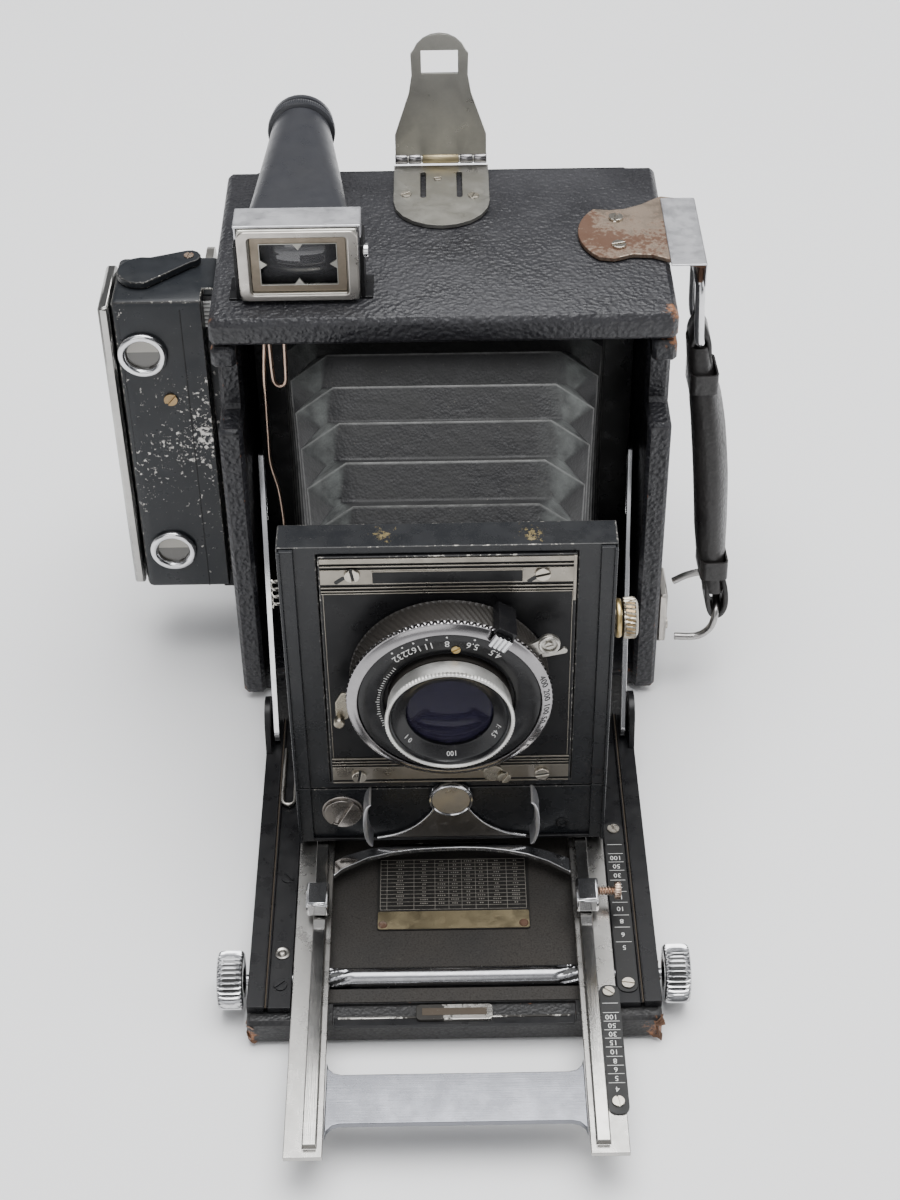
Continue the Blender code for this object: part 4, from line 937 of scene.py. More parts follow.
def build_shutter():
    """Knurled drum, milled speed ring and the black aperture dial inside it."""
    depth = DRUM_BACK - RING_BACK - 0.3
    rim = [(13.0, 0), (26.4, 0), (27.2, 0.5)] + [(27.2, 0.9 + i * (depth - 1.6) / 13) for i in range(14)]
    rim += [(26.7, depth), (16.6, depth), (16.6, depth + 3.7), (13.0, depth + 3.7), (13.0, 0)]
    drum = Piece("shutter_drum_knurled").add(lathe(rim, flutes=96, depth=0.62, fluted=range(3, 17), lean=1.2),
                                             on_axis(DRUM_BACK))
    drum.make("lens_panel", WORN_BRASS_BLACK, smooth=60, replaces=["shutter_drum"], slot="black_enamel")
    wide = RING_R
    rim = [(24.8, 0.1), (27.2, 0.1), (27.6, 0.25), (wide, 0.5), (wide, 1.0), (wide, 1.5), (27.7, 1.7), (27.4, 1.75)]
    rim += [(27.3, 1.85), (25.3, 2.9), (24.9, 2.9), (24.8, 2.7), (24.8, 0.1)]
    ring = Piece("speed_ring_chrome").add(lathe(rim, flutes=100, depth=0.8, fluted=(3, 4, 5)), on_axis(RING_BACK))
    ring.make("speed_ring", CHROME_SATIN, smooth=50, replaces=["speed_ring"], slot="chrome")
    face = [(17.7, 0.3), (24.6, 0.3), (24.6, 2.45), (24.2, 2.6), (18.2, 2.6), (17.7, 2.3), (17.7, 0.3)]
    dial = Piece("aperture_dial").add(lathe(face, 96), on_axis(RING_BACK))
    dial.make("lens_panel", DIAL_BLACK, slot="black_enamel")


def build_shutter_figures():
    """Stops on the dial with a dot over each, ticks down its left side, and speeds on the ring's bevel."""
    figures = Piece("aperture_figures")
    front = RING_BACK - 2.62
    dot = lathe([(0, 0), (0, 0.03), (0.28, 0.03), (0.28, 0), (0, 0)], 12)
    for text, degrees in (("32", -39), ("22", -31), ("16", -23), ("11", -14), ("8", -1), ("5.6", 17), ("4.5", 35)):
        figures.add(lettering(text, 2.9), round_the_lens(21.5, degrees, front, 180))
        figures.add(dot, round_the_lens(23.7, degrees, front))
    for k in range(26):
        tick = [(-0.09, -0.35), (0.09, -0.35), (0.09, 0.35 if k % 5 else 0.7), (-0.09, 0.35 if k % 5 else 0.7)]
        figures.add(prism(tick, 0.0, 0.03), round_the_lens(19.2, -48 - 2.6 * k, front))
    figures.make("lens_panel", WHITE_INK, slot="nickel")
    speeds = Piece("speed_figures")
    for text, degrees in (("400", 74), ("200", 85), ("100", 96), ("50", 105), ("25", 113), ("10", 121), ("5", 128)):
        matrix = round_the_lens(26.25, degrees, RING_BACK - 2.46, 0)
        speeds.add(lettering(text, 2.7), matrix @ Matrix.Rotation(math.radians(-27.7), 4, "X"))
    speeds.make("speed_ring", BLACK_PRINT_AND_SHADE, slot="black_enamel")


def build_lens():
    """Barrel with a milled front rim, black inner cone with its figures, front glass and the dark element behind."""
    deep, wide = BARREL_BACK - BARREL_FRONT, BARREL_R
    outer = [(16.4, 0.1), (16.8, 0.4), (16.8, deep - 1.4), (17.0, deep - 1.3)]
    milled = [(wide, deep - 1.2), (wide, deep - 0.9), (wide, deep - 0.5), (wide, deep - 0.25)]
    lip = [(17.0, deep - 0.05), (16.7, deep), (16.45, deep - 0.15), (16.3, deep - 0.6)]
    barrel = Piece("lens_barrel_milled")
    profile = outer + milled + lip + [(16.3, 0.1), (16.4, 0.1)]
    barrel.add(lathe(profile, flutes=110, depth=0.35, fluted=(4, 5, 6, 7)), on_axis(BARREL_BACK))
    barrel.make("lens_panel", BARREL_METAL, smooth=50, replaces=["lens_barrel"], slot="aluminium")
    cone = [(16.2, 0.1), (16.2, deep - 0.7), (16.0, deep - 0.6), (15.6, deep - 0.9), (15.4, deep - 1.4),
            (14.9, deep - 1.5), (12.3, 3.1), (11.8, 2.9), (11.8, 0.1), (16.2, 0.1)]
    Piece("lens_cone").add(lathe(cone, 96), on_axis(BARREL_BACK)).make("lens_panel", DIAL_BLACK, slot="black_enamel")
    curve = [(0, 3.9)] + [(r, 3.9 - 2.0 * (r / 11.7) ** 2) for r in (2, 4, 6, 8, 10, 11.7)]
    glass = Piece("front_element").add(lathe(curve + [(11.7, 0.9), (0, 0.9)], 64), on_axis(BARREL_BACK))
    glass.make("lens_panel", LENS_GLASS, replaces=["front_lens"], slot="lens_glass")
    # The second element is near-black and opaque: painted shade inside the lens.
    bowl = [(0, -1.4)] + [(r, -1.4 + 1.1 * (r / 10.4) ** 2) for r in (2, 4, 6, 8, 10.4)] + [(10.4, -2.6), (0, -2.6)]
    Piece("second_element").add(lathe(bowl, 64), on_axis(BARREL_BACK)).make("lens_panel", COATED_INNER_SHADE, slot="lens_glass")
    marks = Piece("lens_marks")
    rise, run = deep - 4.6, 2.6  # the slope of the cone's face
    for text, degrees in (("4.5", 118), ("1:", 106), ("100", 178), ("0", 232), ("1", 239)):
        matrix = round_the_lens(13.6, degrees, BARREL_BACK - 3.15 - rise * 0.5, 0)
        marks.add(lettering(text, 2.0), matrix @ Matrix.Rotation(math.atan2(rise, run), 4, "X"))
    marks.make("lens_panel", WHITE_INK, slot="nickel")
    dial_screw = Piece("dial_screw").screw((1.9, RING_BACK - 2.5, AXIS.z + 19.4), FRONT, 1.25, 30, 0.4)
    dial_screw.make("lens_panel", BRASS, bevel=0.08, slot="nickel")


def build_levers():
    """Aperture pointer over the ring, release lever with its round end, cocking lever and the lower levers."""
    front = RING_FRONT - 0.4
    pointer = Piece("aperture_pointer")
    arm = [(-2.9, 27.9), (2.9, 27.9), (2.7, 30.4), (-2.7, 30.4)]
    matrix = round_the_lens(0, 31, front)
    pointer.add(prism(arm, front + 1.5 - DRUM_BACK, 0.0), matrix, 1)
    pointer.add(box((-2.5, 24.6, 0.1), (2.5, 28.6, 1.0)), matrix, 1)
    for k in range(4):
        ridge = [(0.0, 0.5)] + arc((0.55, 1.3), 0.75, 200, -20, 6) + [(1.3, 0.5)]
        turned = Matrix.Translation((-2.75 + k * 1.3, 28.9, 0.0)) @ Matrix.Rotation(math.radians(90), 4, "X")
        pointer.add(prism(ridge, 0.0, 3.9), matrix @ turned)
    pointer.make("aperture_lever", CHROME, DIAL_BLACK, bevel=0.15, replaces=["aperture_lever"], slot="chrome")
    release = Piece("release_arm")
    at = (26.6, RING_BACK + 1.4, 100.4)
    angle = math.degrees(math.atan2(at[2] - AXIS.z, at[0]))
    matrix = facing(at, FRONT, angle - 12)
    blade = arc((0, 0), 3.0, -130, 130, 14) + [(-4.0, 1.9), (-8.6, 1.4), (-8.6, -2.6), (-4.0, -2.6)]
    release.add(prism(blade, -0.2, 0.9), matrix)
    release.add(lathe([(2.0, 0.9), (2.9, 0.9), (2.9, 1.5), (2.5, 1.8), (2.0, 1.5), (2.0, 0.9)], 32), matrix)
    release.screw(matrix @ Vector((0, 0, 0.9)), FRONT, 1.2, 20, 0.7)
    hook = [(-3.5, -4.2), (1.8, -5.0)] + arc((2.6, -4.2), 1.0, -80, 80, 6) + [(1.4, -3.7), (-3.3, -2.9)]
    release.add(prism(hook, -0.6, 0.3), matrix)
    release.make("release_lever", NICKEL, bevel=0.18, replaces=["release_lever"], slot="chrome")
    cock = Piece("cocking_arm")
    matrix = facing((-AXIS.x - 28.6, RING_BACK + 1.5, AXIS.z), FRONT)
    blade = [(1.4, 0.6), (-0.6, 0.9), (-2.4, -2.6), (-2.4, -8.6), (-0.6, -9.4), (1.0, -8.2)]
    cock.add(prism(blade, -0.5, 0.5), matrix)
    tip = lathe([(0, 3.0), (1.2, 2.9), (1.5, 2.5), (1.5, 0.4), (0, 0.4)], 20)
    cock.add(tip, matrix @ Matrix.Translation((-1.5, -8.6, 0)))
    cock.make("cocking_lever", WORN_NICKEL, bevel=0.2, replaces=["cocking_lever"], slot="chrome")
    lower = Piece("time_lever")
    bow = arc((0, 0), 29.8, 250, 292, 12) + arc((0, 0), 27.6, 292, 250, 12)
    lower.add(prism(bow, 0.0, 0.9), on_axis(RING_BACK + 2.2))
    lower.add(prism(arc((12.0, -32.0), 3.0, 0, 345, 14), 0.0, 1.2), on_axis(RING_BACK + 3.6))
    lower.screw((15.0, RING_BACK + 2.2, AXIS.z - 32.8), FRONT, 1.9, 60, 0.9)
    lower.make("lens_panel", WORN_NICKEL, bevel=0.25, slot="chrome")


def build_spring_plate():
    """The dusty plate on the apron with its bright wire edges."""
    front = span("standard_base")[0].y
    plate = Piece("spring_plate")
    right = [(4.2, 31.0), (6.5, 27.0), (10.5, 22.6), (16.0, 19.4), (21.8, 17.9)]
    outline = right + [(21.8, 17.6), (-21.8, 17.6)] + [(-x, z) for x, z in reversed(right)]
    plate.add(prism(outline, 0.0, 0.9), facing((0, front, 0), FRONT))
    for side in (-1, 1):
        path = smooth_path([(side * x, front - 0.95, z + 0.2) for x, z in right], 6)
        plate.add(tube(path, 0.42, 8), finish=1)
    plate.make("standard", DUSTY_PLATE, CHROME, bevel=0.25, slot="black_enamel")


def build_flanges():
    """Folded side flanges of the lens panel's frame and of the apron below it."""
    low, high = span("standard_base")
    front = low.y
    for name, body, bottom, top in (("panel", "lens_panel", low.z + 22.5, span("lens_panel")[1].z - 0.3),
                                    ("apron", "standard", low.z + 0.3, low.z + 22.2)):
        flange = Piece(name + "_flanges")
        for side in (-1, 1):
            xs = sorted((side * (high.x - 0.1), side * (high.x - 4.4)))
            flange.add(box((xs[0], front - 1.3, bottom), (xs[1], front - 0.02, top)))
            xs = sorted((side * (high.x - 0.1), side * (high.x - 1.0)))
            flange.add(box((xs[0], front - 2.2, bottom), (xs[1], front - 0.1, top)))
        flange.make(body, STANDARD_ENAMEL, ENAMEL_EDGE, bevel=0.25, slot="black_enamel")


def build_grips():
    """The two squeeze grips as bowed strips, hollow towards the middle."""
    for name, side in (("left", -1), ("right", 1)):
        low, high = span("clamp_grip_" + name)
        middle, reach = (low.z + high.z) / 2, (high.z - low.z) / 2
        turns = [math.radians(turn) for turn in range(-80, 81, 16)]
        bow = [(side * (22.9 + 2.4 * math.cos(turn)), middle + reach * math.sin(turn)) for turn in turns]
        back = [(x - side * 1.3 * (1 - 0.4 * abs(z - middle) / reach), z) for x, z in bow]
        grip = Piece("clamp_grip_" + name + "_bowed")
        grip.add(prism(bow + back[::-1], 0.0, high.y - low.y - 1.0), facing((0, high.y - 1.0, 0), FRONT))
        grip.make("grip_" + name, BRIGHT_SATIN, bevel=0.35, replaces=["clamp_grip_" + name], slot="chrome")


def build_standard_details():
    """The spring plate's round head, and the large slotted screw, rivet and lip of the apron."""
    low, high = span("standard_base")
    front = low.y
    head = Piece("spring_head")
    rim = [(5.5, 1.7), (5.8, 1.9), (6.2, 1.8), (6.5, 1.3), (6.5, 0.3), (5.5, 0.2), (5.5, 1.7)]
    disc = [(0, 1.75), (5.4, 1.6), (5.4, 0.3), (0, 0.3)]
    for finish, profile in enumerate((rim, disc)):
        head.add(lathe(profile, 64), facing((0, front - 0.6, 34.4), FRONT), finish)
    head.make("standard", CHROME, FRAME_NICKEL, slot="chrome")
    screw = Piece("clamp_screw").screw((-31.5, front, 28.6), FRONT, 5.4, 62, 1.5)
    screw.add(lathe([(5.4, 0), (6.0, 0), (6.0, 0.4), (5.4, 0.5), (5.4, 0)], 40), facing((-31.5, front, 28.6), FRONT))
    screw.make("standard", SPUN_STEEL, bevel=0.2, slot="nickel")
    rivet = lathe([(1.0, 0), (1.9, 0), (1.9, 0.2), (1.4, 0.45), (1.0, 0.2), (1.0, 0)], 28)
    hole = Piece("apron_rivet").add(rivet, facing((32.3, front, 22.4), FRONT))
    hole.make("standard", ENAMEL, slot="black_enamel")
    lip = Piece("standard_lip")
    lip.add(box((low.x + 0.2, front - 1.2, low.z + 0.1), (high.x - 0.2, front - 0.05, low.z + 1.2)))
    lip.make("standard", ENAMEL, ENAMEL_EDGE, bevel=0.3, slot="black_enamel")


def build_rise_knob():
    """The slanted-milled knob with a dirty brass band under its flutes as painted shade in the grooves, its washer on
    the right, and the coil spring on the left.
    """
    at = joint_at("rise_lock")
    knob = Piece("rise_knob_milled")
    rim = [(0, 6.2), (4.6, 6.2), (5.0, 5.9), (5.7, 5.5), (5.8, 5.0), (5.8, 3.9), (5.8, 2.8), (5.6, 2.3), (4.6, 2.0)]
    rim += [(3.0, 1.9), (3.0, 0.1), (0, 0.1)]
    knob.add(lathe(rim, flutes=26, depth=0.7, fluted=(4, 5, 6), lean=1.1), facing(at, RIGHT))
    # A dirty brass band under the flutes: painted shade in the grooves, with grime.
    knob.add(lathe([(4.5, 2.8), (5.45, 2.9), (5.45, 5.3), (4.5, 5.5)], 48), facing(at, RIGHT), finish=1)
    knob.make("rise_knob", WORN_NICKEL, DIRTY_BRASS_AND_SHADE, smooth=50, replaces=["rise_knob"], slot="nickel")
    ring = [(3.2, 0.2), (5.2, 0.2), (5.4, 0.5), (5.4, 1.3), (5.1, 1.7), (3.2, 1.7), (3.2, 0.2)]
    washer = Piece("rise_washer").add(lathe(ring, 32), facing(at, RIGHT))
    washer.make("standard", BRASS, slot="nickel")
    turns = [k * math.pi / 5 for k in range(40)]
    coil = [(-46.6 - 1.1 * math.cos(t), at.y + 3.0 + 1.1 * math.sin(t), 98.0 + 0.42 * t) for t in turns]
    spring = Piece("release_spring").add(tube(coil, 0.28, 6))
    spring.make("standard", NICKEL, slot="nickel")


# ---------------------------------------------------------------- top fittings and sides


def dress_fittings():
    dress(["finder_front"], SIGHT_NICKEL, None, 0.7, 4)
    dress(["finder_lens"], FINDER_GLASS, None, 0)
    dress(["ground_glass"], CLEAR_GLASS, None, 0.2)
    dress(["peep_base", "peep_leaf"], SIGHT_NICKEL, None, 0.2)
    dress(["rangefinder_housing", "rangefinder_cap"], CHIPPED, ENAMEL_EDGE, 0.4)
    dress(["rangefinder_cover"], RAIL_METAL, None, 0.3)
    dress(["handle_bracket_bottom"], FRAME_NICKEL, None, 0.3)
    dress(["winding_key", "tension_knob", "shutter_release"], NICKEL, None, 0.3)


FINDER_LOW, FINDER_HIGH = span("finder_front")
FINDER_MID = (FINDER_LOW + FINDER_HIGH) / 2
EYE_LOW, EYE_HIGH = span("finder_eyepiece")
EYE_MID = (EYE_LOW + EYE_HIGH) / 2
TUBE_LOW, TUBE_HIGH = span("finder_tube")


def tube_row(t, shrink):
    """The finder tube's section, from a rounded rectangle at the front to a circle at the eye."""
    half_w = (15.6 - shrink) * (1 - t) + (9.2 - shrink) * t
    half_h = (9.8 - shrink) * (1 - t) + (9.2 - shrink) * t
    radius = max(0.3, 1.8 - shrink) * (1 - t) + (half_h - 0.01) * t ** 0.8
    radius = min(radius, half_h - 0.01, half_w - 0.01)
    x = FINDER_MID.x + (EYE_MID.x - FINDER_MID.x) * t
    z = FINDER_MID.z + (EYE_MID.z - FINDER_MID.z) * t
    y = TUBE_LOW.y + (TUBE_HIGH.y - TUBE_LOW.y) * t
    return [(x + a, y, z + b) for a, b in rounded((-half_w, -half_h), (half_w, half_h), radius, 9)]


def build_finder():
    """The hollow tube, the milled eyepiece and its glass."""
    tube_piece = Piece("finder_tube_smooth")
    steps = [k / 24 for k in range(25)]
    outer = [tube_row(t, 0.0) for t in steps]
    inner = [tube_row(t, 1.0) for t in steps]
    tube_piece.add(grid(outer + inner[::-1], closed=True))
    tube_piece.make("finder", FINDER_ENAMEL, smooth=50, replaces=["finder_tube"], slot="black_enamel")
    deep = EYE_HIGH.y - EYE_LOW.y
    rim = [(4.0, 0.1), (9.9, 0.1), (10.4, 0.4), (10.5, 0.8), (10.5, 1.9), (10.5, 3.0), (10.2, 3.4), (9.6, 3.5),
           (9.3, 3.8), (9.3, 5.1), (9.8, 5.3), (9.8, 7.0), (9.4, deep - 0.2), (8.6, deep), (7.6, deep - 0.3),
           (6.2, deep - 2.2), (4.0, deep - 2.8), (4.0, 0.1)]
    eye = Piece("finder_eyepiece_turned")
    eye.add(lathe(rim, flutes=90, depth=0.3, fluted=(3, 4, 5)), facing((EYE_MID.x, EYE_LOW.y, EYE_MID.z), BACK))
    eye.make("finder", FINDER_ENAMEL, smooth=40, replaces=["finder_eyepiece"], slot="black_enamel")
    glass = Piece("finder_eye_glass")
    glass.add(lathe([(0, 5.0), (3.8, 4.6), (3.8, 4.0), (0, 4.0)], 32), facing((EYE_MID.x, EYE_LOW.y, EYE_MID.z), BACK))
    glass.make("finder", FINDER_GLASS, slot="lens_glass")


def build_finder_front():
    """Recessed bronze mask with a notch on each side, the bright frame round it, and the strip folded over it."""
    mouth = facing((FINDER_MID.x, FINDER_LOW.y + 1.6, FINDER_MID.z), FRONT)
    mask = Piece("finder_mask")
    hole = rounded((-10.9, -6.6), (10.9, 6.6), 0.3)
    mask.add(frame_ring(rounded((-13.5, -8.9), (13.5, 8.9), 0.5), hole, 0.0, 0.5), mouth)
    rim = frame_ring(rounded((-11.1, -6.8), (11.1, 6.8), 0.3), rounded((-10.8, -6.5), (10.8, 6.5), 0.3), 0.0, 0.75)
    mask.add(rim, mouth, finish=1)
    for a, b, turn in ((0, -6.5, 0), (0, 6.5, 180), (-10.8, 0, -90), (10.8, 0, 90)):
        notch = Matrix.Translation((a, b, 0)) @ Matrix.Rotation(math.radians(turn), 4, "Z")
        mask.add(prism([(-1.5, -0.1), (1.5, -0.1), (0, 2.0)], 0.05, 0.7), mouth @ notch, finish=1)
    mask.make("finder", BRONZE, SIGHT_NICKEL, bevel=0.1, slot="nickel")
    half_w, half_h = (FINDER_HIGH.x - FINDER_LOW.x) / 2 + 0.3, (FINDER_HIGH.z - FINDER_LOW.z) / 2 - 0.4
    outer, inner = rounded((-half_w, -half_h), (half_w, half_h), 2.4, 6), rounded((-13.9, -9.3), (13.9, 9.3), 1.2, 6)
    bright = Piece("finder_frame")
    bright.add(frame_ring(outer, inner, -2.6, 0.55), facing((FINDER_MID.x, FINDER_LOW.y, FINDER_MID.z), FRONT))
    bright.make("finder", FRAME_NICKEL, bevel=0.45, slot="nickel")
    strip = Piece("finder_strip")
    high = FINDER_HIGH.z
    low_corner = (FINDER_LOW.x - 1.1, FINDER_LOW.y + 0.9, high + 0.05)
    strip.add(box(low_corner, (FINDER_HIGH.x + 1.1, FINDER_HIGH.y + 0.2, high + 0.85)))
    for side, x in ((-1, FINDER_LOW.x - 0.4), (1, FINDER_HIGH.x + 0.4)):
        xs = sorted((x, x + side * 0.7))
        strip.add(box((xs[0], FINDER_LOW.y + 2.6, high - 4.4), (xs[1], FINDER_HIGH.y - 2.5, high + 0.5)))
    strip.make("finder", BRIGHT_SATIN, bevel=0.3, slot="chrome")


def build_finder_shoes():
    """The angle brackets that hold the finder on the case, and the screw it tilts on."""
    shoes = Piece("finder_shoes")
    for side, x in ((-1, FINDER_LOW.x - 0.5), (1, FINDER_HIGH.x + 0.5)):
        xs = sorted((x, x + side * 1.2))
        shoes.add(box((xs[0], FINDER_LOW.y + 2.2, CASE_HIGH.z + 0.1), (xs[1], FINDER_HIGH.y + 3.0, FINDER_MID.z + 5.0)))
        xs = sorted((x - side * 1.0, x + side * 3.4))
        shoes.add(box((xs[0], FINDER_LOW.y + 2.2, CASE_HIGH.z + 0.1), (xs[1], FINDER_HIGH.y + 3.0, CASE_HIGH.z + 0.8)))
    shoes.make("root", ENAMEL, bevel=0.3, slot="black_enamel")
    pivot_screw = Piece("finder_pivot")
    pivot_screw.screw((FINDER_HIGH.x + 1.7, FINDER_MID.y - 2.0, FINDER_MID.z + 2.6), RIGHT, 2.0, 20, 1.3)
    pivot_screw.make("root", CHROME, bevel=0.2, slot="chrome")


def build_peep():
    """Hinge knuckles in nickel and brass, and the base's three screws."""
    hinge = joint_at("peep_fold")
    high = span("peep_base")[1].z
    outer = Piece("peep_knuckles")
    for start, end in ((-14.3, -6.2), (6.0, 14.3)):
        middle = (start + end) / 2
        for a, b in ((start, middle - 0.15), (middle + 0.15, end)):
            profile = [(0, a), (1.5, a), (1.65, a + 0.2), (1.65, b - 0.2), (1.5, b), (0, b)]
            outer.add(lathe(profile, 24), facing(hinge, RIGHT))
    outer.make("peep_leaf", CHROME_SATIN, smooth=50, slot="nickel")
    centre = Piece("peep_barrel_centre")
    centre.add(lathe([(0, -5.8), (1.4, -5.8), (1.6, -5.6), (1.6, 5.4), (1.4, 5.6), (0, 5.6)], 24), facing(hinge, RIGHT))
    centre.make("root", PLATE_BRASS, smooth=50, slot="nickel")
    screws = Piece("peep_screws")
    for x, y, radius, turn in ((-10.9, 65.1, 1.7, 30), (9.9, 63.8, 1.7, 70), (-1.1, 74.6, 1.3, 10)):
        screws.screw((x, FACE + y, high - 0.05), UP, radius, turn, 0.45)
    screws.make("root", NICKEL_SCREW, bevel=0.12, slot="nickel")


def build_rangefinder():
    """The two round windows of the rangefinder: a chromed bezel, a dark glass, and a pale half disc on its upper half
    as a painted reflection of the bright room above.
    """
    front = span("rangefinder_housing")[0].y
    for name in ("upper", "lower"):
        node = "rangefinder_window_" + name
        low, high = span(node)
        matrix = facing(((low.x + high.x) / 2, front, (low.z + high.z) / 2), FRONT)
        ring = [(5.0, -1.5), (5.3, -1.5), (5.3, 0.3), (7.5, 0.3), (7.5, 1.1), (7.2, 1.6), (6.5, 1.9), (5.7, 1.8),
                (5.25, 1.4), (5.0, 0.6), (5.0, -1.5)]
        bezel = Piece("rangefinder_bezel_" + name).add(lathe(ring, 72), matrix)
        bezel.make("root", CHROME, smooth=50, replaces=[node], slot="chrome")
        pane = Piece("rangefinder_glass_" + name)
        pane.add(lathe([(0, 0.1), (4.9, 0.0), (4.9, -0.7), (0, -0.7)], 48), matrix)
        # The upper half painted pale: a painted reflection.
        pane.add(prism(arc((0, 0), 4.85, 8, 172, 20), 0.0, 0.12), matrix, finish=1)
        pane.make("root", WINDOW_GLASS, PAINTED_WINDOW_REFLECTION, slot="lens_glass")


def build_rangefinder_details():
    """Adjusting screw, cap screw and seams of the housing, its small scale, the cover's screws and the foot."""
    low, high = span("rangefinder_housing")
    front = low.y
    cap = joint_at("rangefinder_cap_swing")
    details = Piece("rangefinder_details")
    details.screw((-83.6, front, 102.2), FRONT, 2.1, 50, 0.8, finish=1)
    details.screw((cap.x, cap.y, high.z + 2.4), UP, 1.5, 80, 0.5, finish=2)
    details.add(box((-78.3, front - 0.12, low.z + 1.0), (-77.9, front + 0.02, high.z - 3.0)))
    details.add(box((-73.4, front + 6.3, 122.0), (-68.4, front + 6.98, 134.5)))
    details.make("root", ENAMEL, DIRTY_BRASS_AND_SHADE, RUSTY, bevel=0.12, slot="black_enamel")
    scale = Piece("rangefinder_scale")
    scale.add(box((-72.6, front + 6.1, 124.0), (-69.2, front + 6.35, 133.0)))
    for k in range(6):
        scale.add(box((-71.6, front + 5.95, 125.0 + k * 1.4), (-69.6, front + 6.12, 125.3 + k * 1.4)), finish=1)
    scale.make("root", WHITE_INK, BLACK_PRINT_AND_SHADE, bevel=0.05, slot="nickel")
    cover_low, cover_high = span("rangefinder_cover")
    screws = Piece("rangefinder_cover_screws")
    for y in (cover_low.y + 4.0, cover_high.y - 4.0):
        for z, turn in ((cover_low.z + 5.0, 30), (cover_high.z - 5.0, 115)):
            screws.screw((cover_low.x + 0.5, y, z), LEFT, 1.6, turn, 0.45, slot=1)
    screws.make("root", NICKEL_SCREW, BLACK_PRINT_AND_SHADE, bevel=0.12, slot="nickel")
    foot = Piece("rangefinder_foot")
    foot.add(box((-74.5, front + 8.4, 20.4), (-67.1, front + 10.6, 30.0)))
    foot.make("root", ENAMEL, ENAMEL_EDGE, bevel=0.4, slot="black_enamel")


def build_brackets():
    """The waisted rusty plate on the case with its bright folded end, and the screws of both brackets."""
    low, high = span("handle_bracket_top")
    outline = arc((61.0, FACE + 40.5), 20.5, 137, 223, 12)
    outline += [(50.4, FACE + 25.6), (56.0, FACE + 27.8), (62.0, FACE + 27.2), (66.8, FACE + 24.5)]
    outline += [(high.x, low.y + 0.5), (high.x, high.y - 0.5), (66.8, FACE + 61.5)]
    outline += [(60.4, FACE + 56.7), (55.5, FACE + 54.3), (50.8, FACE + 53.6)]
    plate = Piece("bracket_plate").add(prism(outline, high.z - 1.4, high.z))
    plate.add(box((high.x - 1.4, low.y + 3.0, low.z), (high.x, high.y - 3.0, high.z - 0.4)))
    plate.make("root", RUSTY, bevel=0.3, replaces=["handle_bracket_top"], slot="nickel")
    cap = Piece("bracket_end")
    cap.add(box((66.6, low.y - 0.1, high.z + 0.02), (high.x + 0.4, high.y - 0.2, high.z + 0.6)))
    cap.add(box((high.x + 0.05, low.y + 0.4, low.z + 0.3), (high.x + 0.6, high.y - 0.4, high.z + 0.3)))
    cap.make("root", BRIGHT_SATIN, bevel=0.3, slot="chrome")
    screws = Piece("bracket_screws")
    for x, y, turn in ((52.4, 48.4, 75), (52.2, 32.6, 15)):
        screws.screw((x, FACE + y, high.z - 0.1), UP, 2.2, turn, 0.9)
    low, high = span("handle_bracket_bottom")
    for along, turn in ((3.6, 40), (-3.6, 100)):
        screws.screw((high.x - 0.1, (low.y + high.y) / 2 + along, low.z + 5.0), RIGHT, 2.0, turn, 0.8)
    screws.make("root", NICKEL_SCREW, bevel=0.2, slot="nickel")


def build_handle():
    """The ring and the bail of bent wire, and the padded leather strap between them."""
    loop = [(76.2, -15.0, 137.8), (76.8, -16.0, 121.0), (77.8, -13.0, 116.6), (77.8, -2.0, 116.6), (76.8, 1.0, 121.0),
            (76.2, 0.0, 137.8)]
    ring = Piece("strap_ring").add(tube(smooth_path(loop, 6), 1.5, 12, first_side=(1, 0, 0), closed=True))
    ring.make("handle", CHROME, smooth=60, replaces=["handle_ring_top"], slot="chrome")
    legs = [(73.4, -36.4, 18.2), (80.6, -36.4, 18.2), (84.8, -36.2, 21.6), (86.2, -35.4, 27.0), (86.8, -30.0, 29.0),
            (86.4, -25.0, 31.6), (83.0, -24.0, 34.6), (78.0, -23.8, 33.6), (73.4, -23.8, 31.0)]
    bail = Piece("strap_bail").add(tube(smooth_path(legs, 6), 1.2, 10, first_side=(0, 0, 1)))
    bail.make("handle", BAIL_METAL, smooth=60, replaces=["handle_ring_bottom"], slot="nickel")
    strap = Piece("strap_leather").add(grid(strap_rows(), caps=True))
    add_strap_loops(strap)
    strap.make("handle", STRAP_LEATHER, smooth=60, replaces=["handle_strap"], slot="strap_leather")


